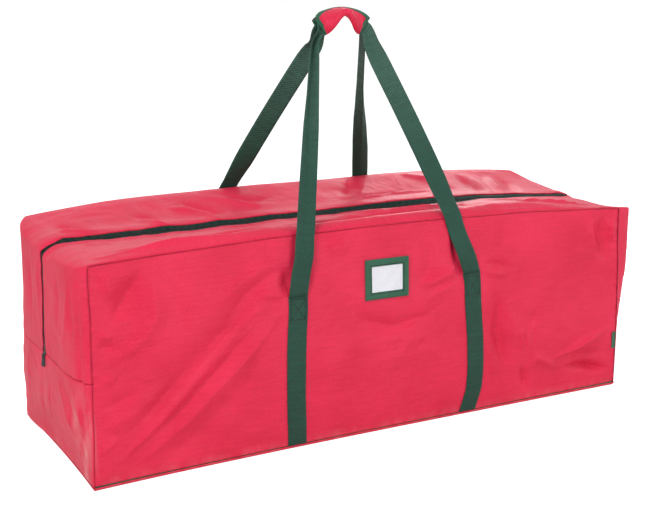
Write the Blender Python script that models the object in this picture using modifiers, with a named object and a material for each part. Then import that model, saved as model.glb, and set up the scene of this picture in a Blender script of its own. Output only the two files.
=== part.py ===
"""Soft storage bag for an artificial tree: zipped box body, two carrying handles and a wrap grip.

Metres, +Z up. X runs along the bag, the front face looks to -Y, and the origin is the
bottom centre, on the underside of the bottom panel.
"""

import math

import bmesh
import bpy
from mathutils import Matrix, Vector

# Body of the bag
BAG_LENGTH = 1.15
BAG_DEPTH = 0.40
BAG_HEIGHT = 0.40
CLOTH = 0.0012
SEAM_GAP = 0.0003
LAY_GAP = 0.0005
CORNER_RADIUS = 0.028
FRONT_BULGE = 0.024
BACK_BULGE = 0.030
END_BULGE = 0.021
END_RISE = 0.12
FRONT_CROWN = 0.010
BACK_CROWN = 0.024
TOP_DIP = 0.004
FRONT_ROLL = 0.016
BACK_ROLL = 0.006
BOTTOM_LIP = 0.0075
MID_SEAM_SHARE = 0.465
LID_MARGIN = 0.085

# Zip along the top and down both ends
ZIP_OPENING = 0.018
TAPE_EDGE = 0.014
TAPE_THICKNESS = 0.0008
COIL_WIDTH = 0.0027
COIL_PROUD = 0.0010
COIL_THICKNESS = 0.0018
STOP_SIZE = Vector((0.0012, 0.0090, 0.0050))
SLIDER_LENGTH = 0.014
SLIDER_WALL = 0.0012
SLIDER_FLANGE = 0.0021
SLIDER_REST_GAP = 0.0010
BAIL_WIRE = 0.0006
BAIL_RISE = 0.0033
BAIL_REACH = 0.0040
PULL_WIDTH = 0.0080
PULL_LENGTH = 0.0340
PULL_THICKNESS = 0.0012
PULL_BAR = 0.0015
PULL_HOLE = 0.0036
PULL_HOLE_LENGTH = 0.0080
PULL_AXIS_OFF = 0.0014

# Webbing: four sewn straps and two free handles
WEB_WIDTH = 0.038
WEB_THICKNESS = 0.0018
STRAP_SPACING = 0.382
STITCH_DROP = 0.104
STITCH_HEIGHT = 0.038
STITCH_INSET = 0.0035
THREAD_WIDTH = 0.0012
THREAD_THICKNESS = 0.0005
FRONT_RIDGE_LEFT = -0.170
FRONT_RIDGE_RIGHT = 0.142
BACK_RIDGE_LEFT = -0.142
BACK_RIDGE_RIGHT = 0.176
RIDGE_STEP = 0.0010
GRIP_TAPER = 0.080
GRIP_WEB_WIDTH = 0.030
EXIT_STRAIGHT = 0.014
EXIT_BEND = 0.034

# Grip: an upturned V in which both handles lie on each other inside a wrap
GRIP_X = 0.0195
GRIP_RISE = 0.389
GRIP_HALF = 0.049
GRIP_SLOPE = 0.75
GRIP_ROUND = 0.015
GRIP_WEB_SHIFT = -0.0045
GRIP_LAY = 0.0012
PAD_HALF = 0.0215
PAD_THICKNESS = 0.0025
PAD_WALL = 0.0015
GRIP_BINDING = 0.0075
GRIP_BINDING_THICKNESS = 0.0008
HOOK_WIDTH = 0.0080
HOOK_EDGE = 0.0010
WRAP_HINGE_OUT = 0.013
WRAP_HINGE_DROP = 0.046

# Label pocket on the front face
LABEL_DROP = 0.095
LABEL_WIDTH = 0.094
LABEL_HEIGHT = 0.076
LABEL_BORDER = 0.0138
LABEL_OFF = 0.0005
LABEL_SHEET = 0.0004
LABEL_FRAME = 0.0011
CARD_OVERLAP = 0.0022
POCKET_OVERLAP = 0.0045
WELT_WIDTH = 0.0080

# Small pieces in the seams
TAG_WIDTH = 0.011
TAG_HEIGHT = 0.037
TAG_FOOT = 0.083
TAG_INSET = 0.0015
BINDING_HEIGHT = 0.010
BINDING_THICKNESS = 0.0020

# Mesh steps
PANEL_ROWS = 14
PANEL_COLUMNS = 20
CORNER_STEPS = 4
FLAP_COLUMNS = 14
FLAP_ROWS = 6
END_COLUMNS = 8
END_ROWS = 5
GRIP_STEPS = 26
PAD_COLUMNS = 4
WEB_COLUMNS = 4
LEG_STEPS = 5
BEND_STEPS = 4

HALF_LENGTH = BAG_LENGTH / 2
HALF_DEPTH = BAG_DEPTH / 2
LID_HALF = HALF_LENGTH - LID_MARGIN
MID_SEAM = BAG_HEIGHT * MID_SEAM_SHARE
TAPE_DEPTH = CLOTH + LAY_GAP
STITCH_TOP = BAG_HEIGHT - STITCH_DROP
TRACK_X = -HALF_LENGTH - END_BULGE
GRIP_Z = BAG_HEIGHT + GRIP_RISE
FRONT, BACK = -1, 1
LEFT, RIGHT = -1, 1

RED = (0.78, 0.045, 0.085)
GREEN = (0.026, 0.105, 0.068)
DARK_GREEN = (0.012, 0.040, 0.030)
BLACK = (0.010, 0.010, 0.011)
METAL = (0.060, 0.060, 0.062)
THREAD = (0.022, 0.085, 0.055)
CARD = (0.82, 0.83, 0.86)
FILM = (0.85, 0.88, 0.92)


def clear_scene():
    for obj in list(bpy.data.objects):
        bpy.data.objects.remove(obj, do_unlink=True)


def material(name, colour, roughness, metallic=0.0):
    made = bpy.data.materials.new(name)
    made.use_nodes = True
    shader = made.node_tree.nodes["Principled BSDF"]
    shader.inputs["Base Color"].default_value = (*colour, 1.0)
    shader.inputs["Roughness"].default_value = roughness
    shader.inputs["Metallic"].default_value = metallic
    return made


def smooth(t):
    t = min(max(t, 0.0), 1.0)
    return t * t * (3 - 2 * t)


def steps(low, high, count):
    return [low + (high - low) * i / count for i in range(count + 1)]


class Bag:
    """Collects the objects and gives each its own material."""

    def __init__(self):
        self.collection = bpy.data.collections.new("tree_storage_bag")
        bpy.context.scene.collection.children.link(self.collection)

    def add(self, name, mesh, look, parent=None):
        obj = bpy.data.objects.new(name, mesh)
        self.collection.objects.link(obj)
        colour, roughness, metallic = look
        mesh.materials.append(material(name, colour, roughness, metallic))
        if parent:
            obj.parent = parent
        return obj

    def sheet(self, name, surface, across, along, thickness, look, out, offset=-1.0):
        """A cloth sheet: a grid laid on surface(u, v), made solid with its outer side on it."""
        bm = bmesh.new()
        bmesh.ops.create_grid(
            bm, x_segments=len(across) - 1, y_segments=len(along) - 1, size=1
        )
        for vert in bm.verts:
            column = round((vert.co.x + 1) / 2 * (len(across) - 1))
            row = round((vert.co.y + 1) / 2 * (len(along) - 1))
            vert.co = surface(across[column], along[row])
        bm.normal_update()
        facing = sum((face.normal for face in bm.faces), Vector())
        if facing.dot(Vector(out)) < 0:
            bmesh.ops.reverse_faces(bm, faces=bm.faces)
        mesh = bpy.data.meshes.new(name)
        bm.to_mesh(mesh)
        bm.free()
        mesh.shade_smooth()
        obj = self.add(name, mesh, look)
        solid = obj.modifiers.new("Solidify", "SOLIDIFY")
        solid.thickness = thickness
        solid.offset = offset
        return obj

    def block(self, name, low, high, look, bevel=0.0):
        """A box between two corners, with rounded edges if bevel is set."""
        low, high = Vector(low), Vector(high)
        bm = bmesh.new()
        bmesh.ops.create_cube(bm, size=1)
        for vert in bm.verts:
            share = vert.co + Vector((1, 1, 1)) / 2
            vert.co = low + Vector(s * d for s, d in zip(share, high - low))
        mesh = bpy.data.meshes.new(name)
        bm.to_mesh(mesh)
        bm.free()
        obj = self.add(name, mesh, look)
        if bevel:
            rounding = obj.modifiers.new("Bevel", "BEVEL")
            rounding.width = bevel
            rounding.segments = 2
        return obj

    def plate(self, name, loops, thickness, look, place=None, parent=None):
        """A flat plate from closed outlines in XY, holes included, centred on z = 0."""
        curve = bpy.data.curves.new(name, "CURVE")
        curve.dimensions = "2D"
        curve.fill_mode = "BOTH"
        curve.extrude = thickness / 2
        for loop in loops:
            spline = curve.splines.new("POLY")
            spline.points.add(len(loop) - 1)
            for point, (x, y) in zip(spline.points, loop):
                point.co = (x, y, 0, 1)
            spline.use_cyclic_u = True
        return self.add(name, solid_mesh(name, curve, place), look, parent)

    def wire(self, name, points, radius, look):
        """A round wire along points, with closed ends."""
        curve = bpy.data.curves.new(name, "CURVE")
        curve.dimensions = "3D"
        curve.bevel_depth = radius
        curve.bevel_resolution = 2
        curve.use_fill_caps = True
        spline = curve.splines.new("POLY")
        spline.points.add(len(points) - 1)
        for point, place in zip(spline.points, points):
            point.co = (*place, 1)
        return self.add(name, solid_mesh(name, curve), look)

    def empty(self, name, place):
        made = bpy.data.objects.new(name, None)
        self.collection.objects.link(made)
        made.location = place
        return made

    def hang(self, name, place, parts):
        """Hang a moving body's parts, where they are, on an empty that stands on its axis."""
        axis = self.empty(name, place)
        for part in parts:
            obj = self.collection.objects[part]
            obj.parent = axis
            obj.location -= axis.location


def solid_mesh(name, curve, place=None):
    """The closed mesh of a curve, with its caps welded on, laid on a surface by place."""
    holder = bpy.data.objects.new(name + "_curve", curve)
    bpy.context.scene.collection.objects.link(holder)
    graph = bpy.context.evaluated_depsgraph_get()
    mesh = bpy.data.meshes.new_from_object(holder.evaluated_get(graph))
    bpy.data.objects.remove(holder, do_unlink=True)
    bm = bmesh.new()
    bm.from_mesh(mesh)
    bmesh.ops.remove_doubles(bm, verts=bm.verts, dist=SEAM_GAP / 100)
    if place:
        for vert in bm.verts:
            vert.co = place(vert.co)
    bmesh.ops.recalc_face_normals(bm, faces=bm.faces)
    bm.to_mesh(mesh)
    bm.free()
    mesh.name = name
    return mesh


def rectangle(x0, y0, x1, y1):
    return [(x0, y0), (x1, y0), (x1, y1), (x0, y1)]


# Shape of the stuffed body

def edge_height(x, crown):
    """Height of the top edge of a long panel, which rounds down into the ends."""
    straight = HALF_LENGTH - CORNER_RADIUS
    past = abs(x) - straight
    if past > 0:
        return BAG_HEIGHT - CORNER_RADIUS + math.sqrt(max(CORNER_RADIUS**2 - past**2, 0.0))
    return BAG_HEIGHT + crown * (1 - (x / straight) ** 2)


def crown_of(side):
    return FRONT_CROWN if side == FRONT else BACK_CROWN


def long_bulge(x, z, side):
    """How far a long panel stands out at x and z: an even arch between its two seams."""
    full = FRONT_BULGE if side == FRONT else BACK_BULGE
    along = (1 - min(abs(x) / HALF_LENGTH, 1.0) ** 4) ** 2
    up = min(abs(z / edge_height(x, crown_of(side)) * 2 - 1), 1.0)
    return full * along * (1 - up**2)


def on_face(x, z, side, off=0.0):
    """A point on the outside of a long panel, or off it by a distance."""
    return Vector((x, side * (HALF_DEPTH + long_bulge(x, z, side) + off), z))


def face_plane(bag, name, x, height, span, side, off):
    """An empty that lies on a long face, or off it, with Z outward and Y up the face."""
    reach = span / 2
    up = on_face(x, height + reach, side) - on_face(x, height - reach, side)
    ahead = on_face(x - side * reach, height, side) - on_face(x + side * reach, height, side)
    out = ahead.cross(up).normalized()
    up.normalize()
    plane = bag.empty(name, on_face(x, height, side) + out * off)
    plane.rotation_euler = Matrix((up.cross(out), up, out)).transposed().to_euler()
    return plane


def end_bulge(y, z):
    across = (1 - min(abs(y) / HALF_DEPTH, 1.0) ** 4) ** 2
    return END_BULGE * across * smooth(z / END_RISE)


def top_height(x, y):
    """Height of the top: lowest along the zip, with a soft roll just inside each long edge."""
    valley = BAG_HEIGHT - TOP_DIP
    side = FRONT if y < 0 else BACK
    share = min(abs(y) / HALF_DEPTH, 1.0)
    climb = (edge_height(x, crown_of(side)) - valley) * share**1.5
    roll = FRONT_ROLL if side == FRONT else BACK_ROLL
    fade = 1 - min(abs(x) / HALF_LENGTH, 1.0) ** 4
    return valley + climb + roll * fade * math.sin(math.pi * share**3.5)


UPRIGHT = BAG_HEIGHT - CORNER_RADIUS - MID_SEAM
ARC = CORNER_RADIUS * math.pi / 2
OVER_TOP = HALF_LENGTH - CORNER_RADIUS - LID_HALF


def end_profile(end, run, y, depth=0.0):
    """A point on an end gusset: run is the way up from the mid seam, over the corner and
    along the top, and depth is how far it lies below the cloth's outer side."""
    if run <= UPRIGHT:
        base, normal = Vector((HALF_LENGTH, 0, MID_SEAM + run)), Vector((1, 0, 0))
        lift = end_bulge(y, base.z)
    elif run <= UPRIGHT + ARC:
        turn = (run - UPRIGHT) / CORNER_RADIUS
        normal = Vector((math.cos(turn), 0, math.sin(turn)))
        centre = Vector((HALF_LENGTH - CORNER_RADIUS, 0, BAG_HEIGHT - CORNER_RADIUS))
        base = centre + normal * CORNER_RADIUS
        share = smooth(turn / (math.pi / 2))
        drop = top_height(HALF_LENGTH - CORNER_RADIUS, y) - BAG_HEIGHT
        lift = (1 - share) * end_bulge(y, BAG_HEIGHT) + share * drop
    else:
        x = HALF_LENGTH - CORNER_RADIUS - (run - UPRIGHT - ARC)
        base, normal = Vector((x, 0, BAG_HEIGHT)), Vector((0, 0, 1))
        lift = top_height(x, y) - BAG_HEIGHT
    point = base + normal * (lift - depth)
    return Vector((end * point.x, y, point.z))


def end_runs():
    """Steps up an end, over its corner and along the top as far as the lid."""
    whole = UPRIGHT + ARC + OVER_TOP - LAY_GAP
    rows = steps(SEAM_GAP, UPRIGHT, END_ROWS)
    rows += steps(UPRIGHT, UPRIGHT + ARC, CORNER_STEPS)[1:]
    return rows + steps(UPRIGHT + ARC, whole, 2)[1:]


def long_stations():
    """Places along a long panel, close together in the rounded corners."""
    straight = HALF_LENGTH - CORNER_RADIUS
    middle = steps(-straight, straight, PANEL_COLUMNS)
    turns = steps(0, math.pi / 2, CORNER_STEPS)[1:]
    tips = [straight + CORNER_RADIUS * math.sin(turn) for turn in turns]
    return [-x for x in reversed(tips)] + middle + tips


def panel_rows():
    return steps(0.0, 1.0, PANEL_ROWS)


def row_height(x, v, side):
    """Height of a long panel's row at share v, so that all that is sewn on shares its rows."""
    foot = BOTTOM_LIP + SEAM_GAP
    return foot + v * (edge_height(x, crown_of(side)) - foot)


SIDE_NAMES = {FRONT: "front", BACK: "back"}
END_NAMES = {LEFT: "left", RIGHT: "right"}
CLOTH_LOOK = (RED, 0.72, 0.0)
WEB_LOOK = (GREEN, 0.80, 0.0)
TAPE_LOOK = (DARK_GREEN, 0.85, 0.0)
COIL_LOOK = (BLACK, 0.45, 0.0)
METAL_LOOK = (METAL, 0.35, 1.0)
THREAD_LOOK = (THREAD, 0.60, 0.0)
CARD_LOOK = (CARD, 0.60, 0.0)
FILM_LOOK = (FILM, 0.12, 0.0)


def long_panels(bag):
    for side, name in SIDE_NAMES.items():
        bag.sheet(
            f"{name}_panel",
            lambda x, v: on_face(x, row_height(x, v, side), side),
            long_stations(), panel_rows(), CLOTH, CLOTH_LOOK, (0, side, 0),
        )


def bottom_panel(bag):
    """The bottom is a shallow tray, whose lips turn up into the seams all round."""
    bm = bmesh.new()
    bmesh.ops.create_cube(bm, size=1)
    top = max(bm.faces, key=lambda face: face.calc_center_median().z)
    bmesh.ops.delete(bm, geom=[top], context="FACES_ONLY")
    for vert in bm.verts:
        vert.co.x *= BAG_LENGTH
        vert.co.y *= BAG_DEPTH
        vert.co.z = BOTTOM_LIP if vert.co.z > 0 else 0.0
    mesh = bpy.data.meshes.new("bottom_panel")
    bm.to_mesh(mesh)
    bm.free()
    obj = bag.add("bottom_panel", mesh, CLOTH_LOOK)
    solid = obj.modifiers.new("Solidify", "SOLIDIFY")
    solid.thickness = CLOTH
    solid.offset = -1.0
    solid.use_even_offset = True


def end_panels(bag):
    """The plain lower half of each end, below the level seam."""
    inner = HALF_DEPTH - CLOTH - SEAM_GAP
    foot = BOTTOM_LIP + SEAM_GAP
    for end, name in END_NAMES.items():
        bag.sheet(
            f"{name}_end_panel",
            lambda y, z: Vector((end * (HALF_LENGTH + end_bulge(y, z)), y, z)),
            steps(-inner, inner, END_COLUMNS), steps(foot, MID_SEAM, END_ROWS),
            CLOTH, CLOTH_LOOK, (end, 0, 0),
        )


def end_gussets(bag):
    """The zipped upper half of each end, which turns over the corner into the top."""
    outer = HALF_DEPTH - CLOTH - SEAM_GAP
    for end, end_name in END_NAMES.items():
        for side, side_name in SIDE_NAMES.items():
            bag.sheet(
                f"{end_name}_{side_name}_gusset",
                lambda y, run: end_profile(end, run, y),
                steps(side * ZIP_OPENING / 2, side * outer, FLAP_ROWS), end_runs(),
                CLOTH, CLOTH_LOOK, (end, 0, 1),
            )


def lids(bag):
    """The two halves of the top, which fold in once the zip is open."""
    outer = HALF_DEPTH - CLOTH - SEAM_GAP
    for side, name in SIDE_NAMES.items():
        bag.sheet(
            f"top_{name}_flap",
            lambda x, y: Vector((x, y, top_height(x, y))),
            steps(-LID_HALF, LID_HALF, FLAP_COLUMNS),
            steps(side * ZIP_OPENING / 2, side * outer, FLAP_ROWS),
            CLOTH, CLOTH_LOOK, (0, 0, 1),
        )


def zip_strip(bag, name, low, high, depth, thickness, look, side):
    """A strip of the zip's length, on the lid and on both ends."""
    bag.sheet(
        f"top_{name}",
        lambda x, y: Vector((x, y, top_height(x, y) - depth)),
        steps(-LID_HALF, LID_HALF, FLAP_COLUMNS), [side * low, side * high],
        thickness, look, (0, 0, 1),
    )
    for end, end_name in END_NAMES.items():
        bag.sheet(
            f"{end_name}_{name}",
            lambda y, run: end_profile(end, run, y, depth),
            [side * low, side * high], end_runs(), thickness, look, (end, 0, 1),
        )


def zip_fastener(bag):
    coil_edge = SEAM_GAP + COIL_WIDTH
    for side, name in SIDE_NAMES.items():
        zip_strip(
            bag, f"zip_tape_{name}", coil_edge + SEAM_GAP, TAPE_EDGE, TAPE_DEPTH,
            TAPE_THICKNESS, TAPE_LOOK, side,
        )
        zip_strip(
            bag, f"zip_coil_{name}", SEAM_GAP, coil_edge, TAPE_DEPTH - COIL_PROUD,
            COIL_THICKNESS, COIL_LOOK, side,
        )


def zip_stops(bag):
    """The clip that ends the zip at the mid seam, standing on both coils."""
    face = HALF_LENGTH + END_BULGE - TAPE_DEPTH + COIL_PROUD + SEAM_GAP
    for end, name in END_NAMES.items():
        xs = sorted((end * face, end * (face + STOP_SIZE.x)))
        foot = MID_SEAM + SEAM_GAP
        half = STOP_SIZE.y / 2
        bag.block(
            f"{name}_zip_stop", (xs[0], -half, foot), (xs[1], half, foot + STOP_SIZE.z),
            METAL_LOOK, STOP_SIZE.x / 5,
        )


SLIDER_FOOT = MID_SEAM + SEAM_GAP + STOP_SIZE.z + SLIDER_REST_GAP
SLIDER_MIDDLE = SLIDER_FOOT + SLIDER_LENGTH / 2
SLIDER_INNER = TRACK_X + TAPE_DEPTH - COIL_PROUD - SEAM_GAP
SLIDER_FACE = SLIDER_INNER - SLIDER_WALL


def zip_slider(bag):
    """A channel over both coils, with a wire bail on it that holds the pull."""
    flange_in = SEAM_GAP * 2 + COIL_WIDTH
    flange_out = flange_in + SLIDER_FLANGE
    foot = TRACK_X + TAPE_DEPTH - SEAM_GAP
    outline = [
        (SLIDER_FACE, -flange_out), (foot, -flange_out), (foot, -flange_in),
        (SLIDER_INNER, -flange_in), (SLIDER_INNER, flange_in), (foot, flange_in),
        (foot, flange_out), (SLIDER_FACE, flange_out),
    ]
    body = bag.plate("slider_body", [outline], SLIDER_LENGTH, METAL_LOOK)
    body.location.z = SLIDER_MIDDLE
    start = SLIDER_FACE - SEAM_GAP
    arch = [Vector((start, 0, SLIDER_MIDDLE - BAIL_REACH))]
    for turn in steps(-math.pi / 3, math.pi / 3, 4):
        out = BAIL_RISE * (1 - (1 - math.cos(turn)) / 2)
        arch.append(Vector((start - out, 0, SLIDER_MIDDLE + BAIL_REACH * math.sin(turn))))
    arch.append(Vector((start, 0, SLIDER_MIDDLE + BAIL_REACH)))
    bag.wire("slider_bail", arch, BAIL_WIRE, METAL_LOOK)


def zip_pull(bag):
    """The pull hangs on the bail by a bar above its window, and turns on that bar."""
    pivot = bag.empty("zip_pull_axis", (SLIDER_FACE - PULL_AXIS_OFF, 0, SLIDER_MIDDLE))
    half, hole = PULL_WIDTH / 2, PULL_HOLE / 2
    top = PULL_BAR / 2
    tip = top - PULL_LENGTH
    nose = PULL_WIDTH / 4
    outline = [(-half, top), (half, top), (half, tip + nose), (nose, tip), (-nose, tip)]
    outline.append((-half, tip + nose))
    window = rectangle(-hole, -top - PULL_HOLE_LENGTH, hole, -top)
    bag.plate(
        "zip_pull", [outline, window], PULL_THICKNESS, METAL_LOOK,
        place=lambda co: Vector((-co.z, co.x, co.y)), parent=pivot,
    )


def sewn_straps(bag):
    """Webbing sewn flat on the long faces, from the bottom seam to the box stitch."""
    off = LAY_GAP + WEB_THICKNESS
    for side, side_name in SIDE_NAMES.items():
        for end, end_name in END_NAMES.items():
            middle = end * STRAP_SPACING / 2
            top = STITCH_TOP - LAY_GAP
            rows = [v for v in panel_rows() if row_height(middle, v, side) < top - LAY_GAP]
            heights = [row_height(middle, v, side) for v in rows] + [top]
            bag.sheet(
                f"{side_name}_strap_{end_name}",
                lambda x, z: on_face(middle + x, z, side, off),
                steps(-WEB_WIDTH / 2, WEB_WIDTH / 2, 2), heights,
                WEB_THICKNESS, WEB_LOOK, (0, side, 0),
            )


def box_stitches(bag):
    """A cross in a box, in thread, where each strap lets its handle go."""
    wide = WEB_WIDTH / 2 - STITCH_INSET
    tall = STITCH_HEIGHT / 2
    t, d = THREAD_WIDTH, THREAD_WIDTH * 1.5
    loops = [rectangle(-wide, -tall, wide, tall)]
    for sign in (-1, 1):
        loops.append([(-wide + d + t, sign * (tall - t)), (wide - d - t, sign * (tall - t)), (0, sign * d)])
        loops.append([(sign * (wide - t), -tall + d + t), (sign * (wide - t), tall - d - t), (sign * d, 0)])
    off = LAY_GAP + WEB_THICKNESS + SEAM_GAP + THREAD_THICKNESS / 2
    height = STITCH_TOP - STITCH_HEIGHT / 2 - STITCH_INSET
    for side, side_name in SIDE_NAMES.items():
        for end, end_name in END_NAMES.items():
            name = f"{side_name}_stitch_{end_name}"
            middle = end * STRAP_SPACING / 2
            plane = face_plane(bag, f"{name}_plane", middle, height, STITCH_HEIGHT, side, off)
            bag.plate(name, loops, THREAD_THICKNESS, THREAD_LOOK, parent=plane)


# Grip and handles

def grip_frame(share):
    """Middle, forward direction, width direction and outer direction of the grip.

    The webbing lies flat at the top of the V and stands on edge at both ends, so its outer
    side turns from upward to the front. The width direction points to the bound free edge.
    """
    x = share * GRIP_HALF
    reach = math.hypot(GRIP_ROUND, GRIP_SLOPE * x)
    middle = Vector((GRIP_X + x, 0, GRIP_Z - (reach - GRIP_ROUND)))
    ahead = Vector((1, 0, -(GRIP_SLOPE**2) * x / reach)).normalized()
    up = Vector((-ahead.z, 0, ahead.x))
    turn = math.pi / 2 * abs(share)
    outer = up * math.cos(turn) - Vector((0, 1, 0)) * math.sin(turn)
    width = Vector((0, 1, 0)) * math.cos(turn) + up * math.sin(turn)
    return middle, ahead, width, outer


def on_grip(share, along_width, out):
    middle, _, width, outer = grip_frame(share)
    return middle + width * along_width + outer * out


def web_out(side):
    """The front handle lies outside the back one in the grip."""
    return -side * (WEB_THICKNESS + GRIP_LAY) / 2


def ridge_x(side, end):
    if side == FRONT:
        return FRONT_RIDGE_LEFT if end == LEFT else FRONT_RIDGE_RIGHT
    return BACK_RIDGE_LEFT if end == LEFT else BACK_RIDGE_RIGHT


def face_points(side, end):
    """Middle line of a free leg on the face, on the panel's rows, up to the ridge."""
    off = LAY_GAP + WEB_THICKNESS / 2
    start_x, end_x = end * STRAP_SPACING / 2, ridge_x(side, end)
    edge = edge_height(end_x, crown_of(side))
    heights = [row_height(end_x, v, side) for v in panel_rows()]
    heights = [STITCH_TOP] + [z for z in heights if STITCH_TOP + LAY_GAP < z < edge - LAY_GAP]
    heights += [edge, edge + RIDGE_STEP]
    points = []
    for z in heights:
        share = min((z - STITCH_TOP) / (edge - STITCH_TOP), 1.0)
        points.append(on_face(start_x + (end_x - start_x) * share, z, side, off))
    return points


def leg_path(side, end, ridge):
    """Middle line of a free leg from the ridge to just before the grip, ending in a bend."""
    ahead = grip_frame(end)[1]
    finish = on_grip(end, GRIP_WEB_SHIFT, web_out(side))
    knee = finish + ahead * end * EXIT_STRAIGHT
    bend = knee + (ridge - knee).normalized() * EXIT_BEND
    points = [ridge.lerp(bend, i / LEG_STEPS) for i in range(1, LEG_STEPS + 1)]
    for i in range(1, BEND_STEPS):
        t = i / BEND_STEPS
        points.append(bend.lerp(knee, t).lerp(knee.lerp(finish, t), t))
    return points + [finish]


def leg_rows(side, end):
    """Middle, width direction and width of a free leg's rows, from the stitch to the grip."""
    on_bag = face_points(side, end)
    sideways = Vector((end, 0, 0))
    rows = [(point, sideways, WEB_WIDTH) for point in on_bag]
    path = [on_bag[-1]] + leg_path(side, end, on_bag[-1])
    for i in range(1, len(path) - 1):
        climb = (path[i + 1] - path[i - 1]).normalized()
        level = Vector((1, 0, 0)).cross(climb).normalized()
        left = sum((b - a).length for a, b in zip(path[i:], path[i + 1:]))
        share = smooth(left / GRIP_TAPER)
        normal = level.lerp(Vector((0, -1, 0)), 1 - share)
        normal -= climb * normal.dot(climb)
        width = normal.cross(climb).normalized() * -end
        rows.append((path[i], width, GRIP_WEB_WIDTH + (WEB_WIDTH - GRIP_WEB_WIDTH) * share))
    return rows


def handle_rows(side):
    """All rows of a handle, from the left stitch over the grip to the right one."""
    top = []
    for share in steps(LEFT, RIGHT, GRIP_STEPS):
        width = grip_frame(share)[2]
        top.append((on_grip(share, GRIP_WEB_SHIFT, web_out(side)), width, GRIP_WEB_WIDTH))
    return leg_rows(side, LEFT) + top + leg_rows(side, RIGHT)[::-1]


def handles(bag):
    for side, name in SIDE_NAMES.items():
        rows = handle_rows(side)
        bag.sheet(
            f"{name}_handle_web",
            lambda across, i: rows[i][0] + rows[i][1] * across * rows[i][2] / 2,
            steps(-1, 1, WEB_COLUMNS), list(range(len(rows))), WEB_THICKNESS, WEB_LOOK, (0, side, 0),
            offset=0.0,
        )


def grip_sheet(bag, name, shares, widths, out, thickness, look):
    """A sheet on the grip whose outer side lies at out along the grip's outer direction."""
    facing = (0, -1, 1) if out > 0 else (0, 1, -1)
    bag.sheet(
        name, lambda width, share: on_grip(share, width, out), widths, shares,
        thickness, look, facing,
    )


def grip_wrap(bag):
    """The pad sewn to the back handle, its flap round the front, and what is on them."""
    shares = steps(-1.0, 1.0, GRIP_STEPS)
    whole = steps(-PAD_HALF, PAD_HALF, PAD_COLUMNS)
    inner = WEB_THICKNESS + GRIP_LAY * 1.5
    outer = inner + PAD_THICKNESS
    face = outer + GRIP_LAY / 2 + GRIP_BINDING_THICKNESS
    grip_sheet(bag, "grip_pad", shares, whole, -outer, PAD_THICKNESS, CLOTH_LOOK)
    grip_sheet(bag, "wrap_flap_pad", shares, whole, outer, PAD_THICKNESS, CLOTH_LOOK)
    foot = -PAD_HALF
    bag.sheet(
        "grip_fold",
        lambda out, share: on_grip(share, foot, out),
        [-inner + GRIP_LAY, inner - GRIP_LAY], shares, PAD_WALL, CLOTH_LOOK, (0, -1, -1),
    )
    bound = PAD_HALF - HOOK_EDGE
    hooks = [bound - HOOK_WIDTH, bound]
    lay = LAY_GAP + SEAM_GAP
    strip = inner - lay * 2
    grip_sheet(bag, "hook_strip", shares[1:-1], hooks, inner - lay, strip, TAPE_LOOK)
    grip_sheet(bag, "loop_strip", shares[1:-1], hooks, -inner + lay, strip, TAPE_LOOK)
    edge = [PAD_HALF - GRIP_BINDING, PAD_HALF]
    bound_rows = round(GRIP_BINDING / GRIP_HALF * GRIP_STEPS / 2)
    left, along, right = (
        shares[:bound_rows + 1], shares[bound_rows:-bound_rows], shares[-bound_rows - 1:]
    )
    nudge = SEAM_GAP / GRIP_HALF
    along = [along[0] + nudge, *along[1:-1], along[-1] - nudge]
    for name, out in (("grip_pad", -face), ("wrap_flap", face)):
        for end_name, rows, widths in (("left", left, whole), ("right", right, whole),
                                       ("edge", along, edge)):
            grip_sheet(
                bag, f"{name}_binding_{end_name}", rows, widths, out,
                GRIP_BINDING_THICKNESS, WEB_LOOK,
            )


# Label pocket and seam pieces

def label_pocket(bag):
    """Backing, card, clear window and the bound frame, each a layer further out. The welt
    closes the pocket on three sides, so that the card slides out at the top."""
    plane = face_plane(
        bag, "label_plane", 0.0, BAG_HEIGHT - LABEL_DROP, LABEL_HEIGHT, FRONT, LABEL_OFF
    )
    wide, tall = LABEL_WIDTH / 2, LABEL_HEIGHT / 2
    open_x, open_y = wide - LABEL_BORDER, tall - LABEL_BORDER
    card_x, card_y = open_x + CARD_OVERLAP, open_y + CARD_OVERLAP
    back_x, back_y = open_x + POCKET_OVERLAP, open_y + POCKET_OVERLAP
    step = LABEL_SHEET + SEAM_GAP
    middle = LABEL_SHEET / 2

    def at(height):
        return lambda co: Vector((co.x, co.y, co.z + height))

    bag.plate("label_backing", [rectangle(-back_x, -back_y, back_x, back_y)], LABEL_SHEET,
              CLOTH_LOOK, at(middle), plane)
    bag.plate("label_card", [rectangle(-card_x, -card_y, card_x, card_y)], LABEL_SHEET,
              CARD_LOOK, at(step + middle), plane)
    bag.plate("label_window", [rectangle(-back_x, -back_y, back_x, back_y)], LABEL_SHEET,
              FILM_LOOK, at(step * 2 + middle), plane)
    welt_in_x, welt_in_y = back_x + SEAM_GAP, back_y + SEAM_GAP
    welt_out_x, welt_out_y = welt_in_x + WELT_WIDTH, welt_in_y + WELT_WIDTH
    welt = [
        (-welt_out_x, back_y), (-welt_out_x, -welt_out_y), (welt_out_x, -welt_out_y),
        (welt_out_x, back_y), (welt_in_x, back_y), (welt_in_x, -welt_in_y),
        (-welt_in_x, -welt_in_y), (-welt_in_x, back_y),
    ]
    depth = step * 3 - SEAM_GAP
    bag.plate("label_welt", [welt], depth, CLOTH_LOOK, at(depth / 2), plane)
    frame = [rectangle(-wide, -tall, wide, tall), rectangle(-open_x, -open_y, open_x, open_y)]
    bag.plate("label_frame", frame, LABEL_FRAME, WEB_LOOK, at(step * 3 + LABEL_FRAME / 2), plane)


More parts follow.
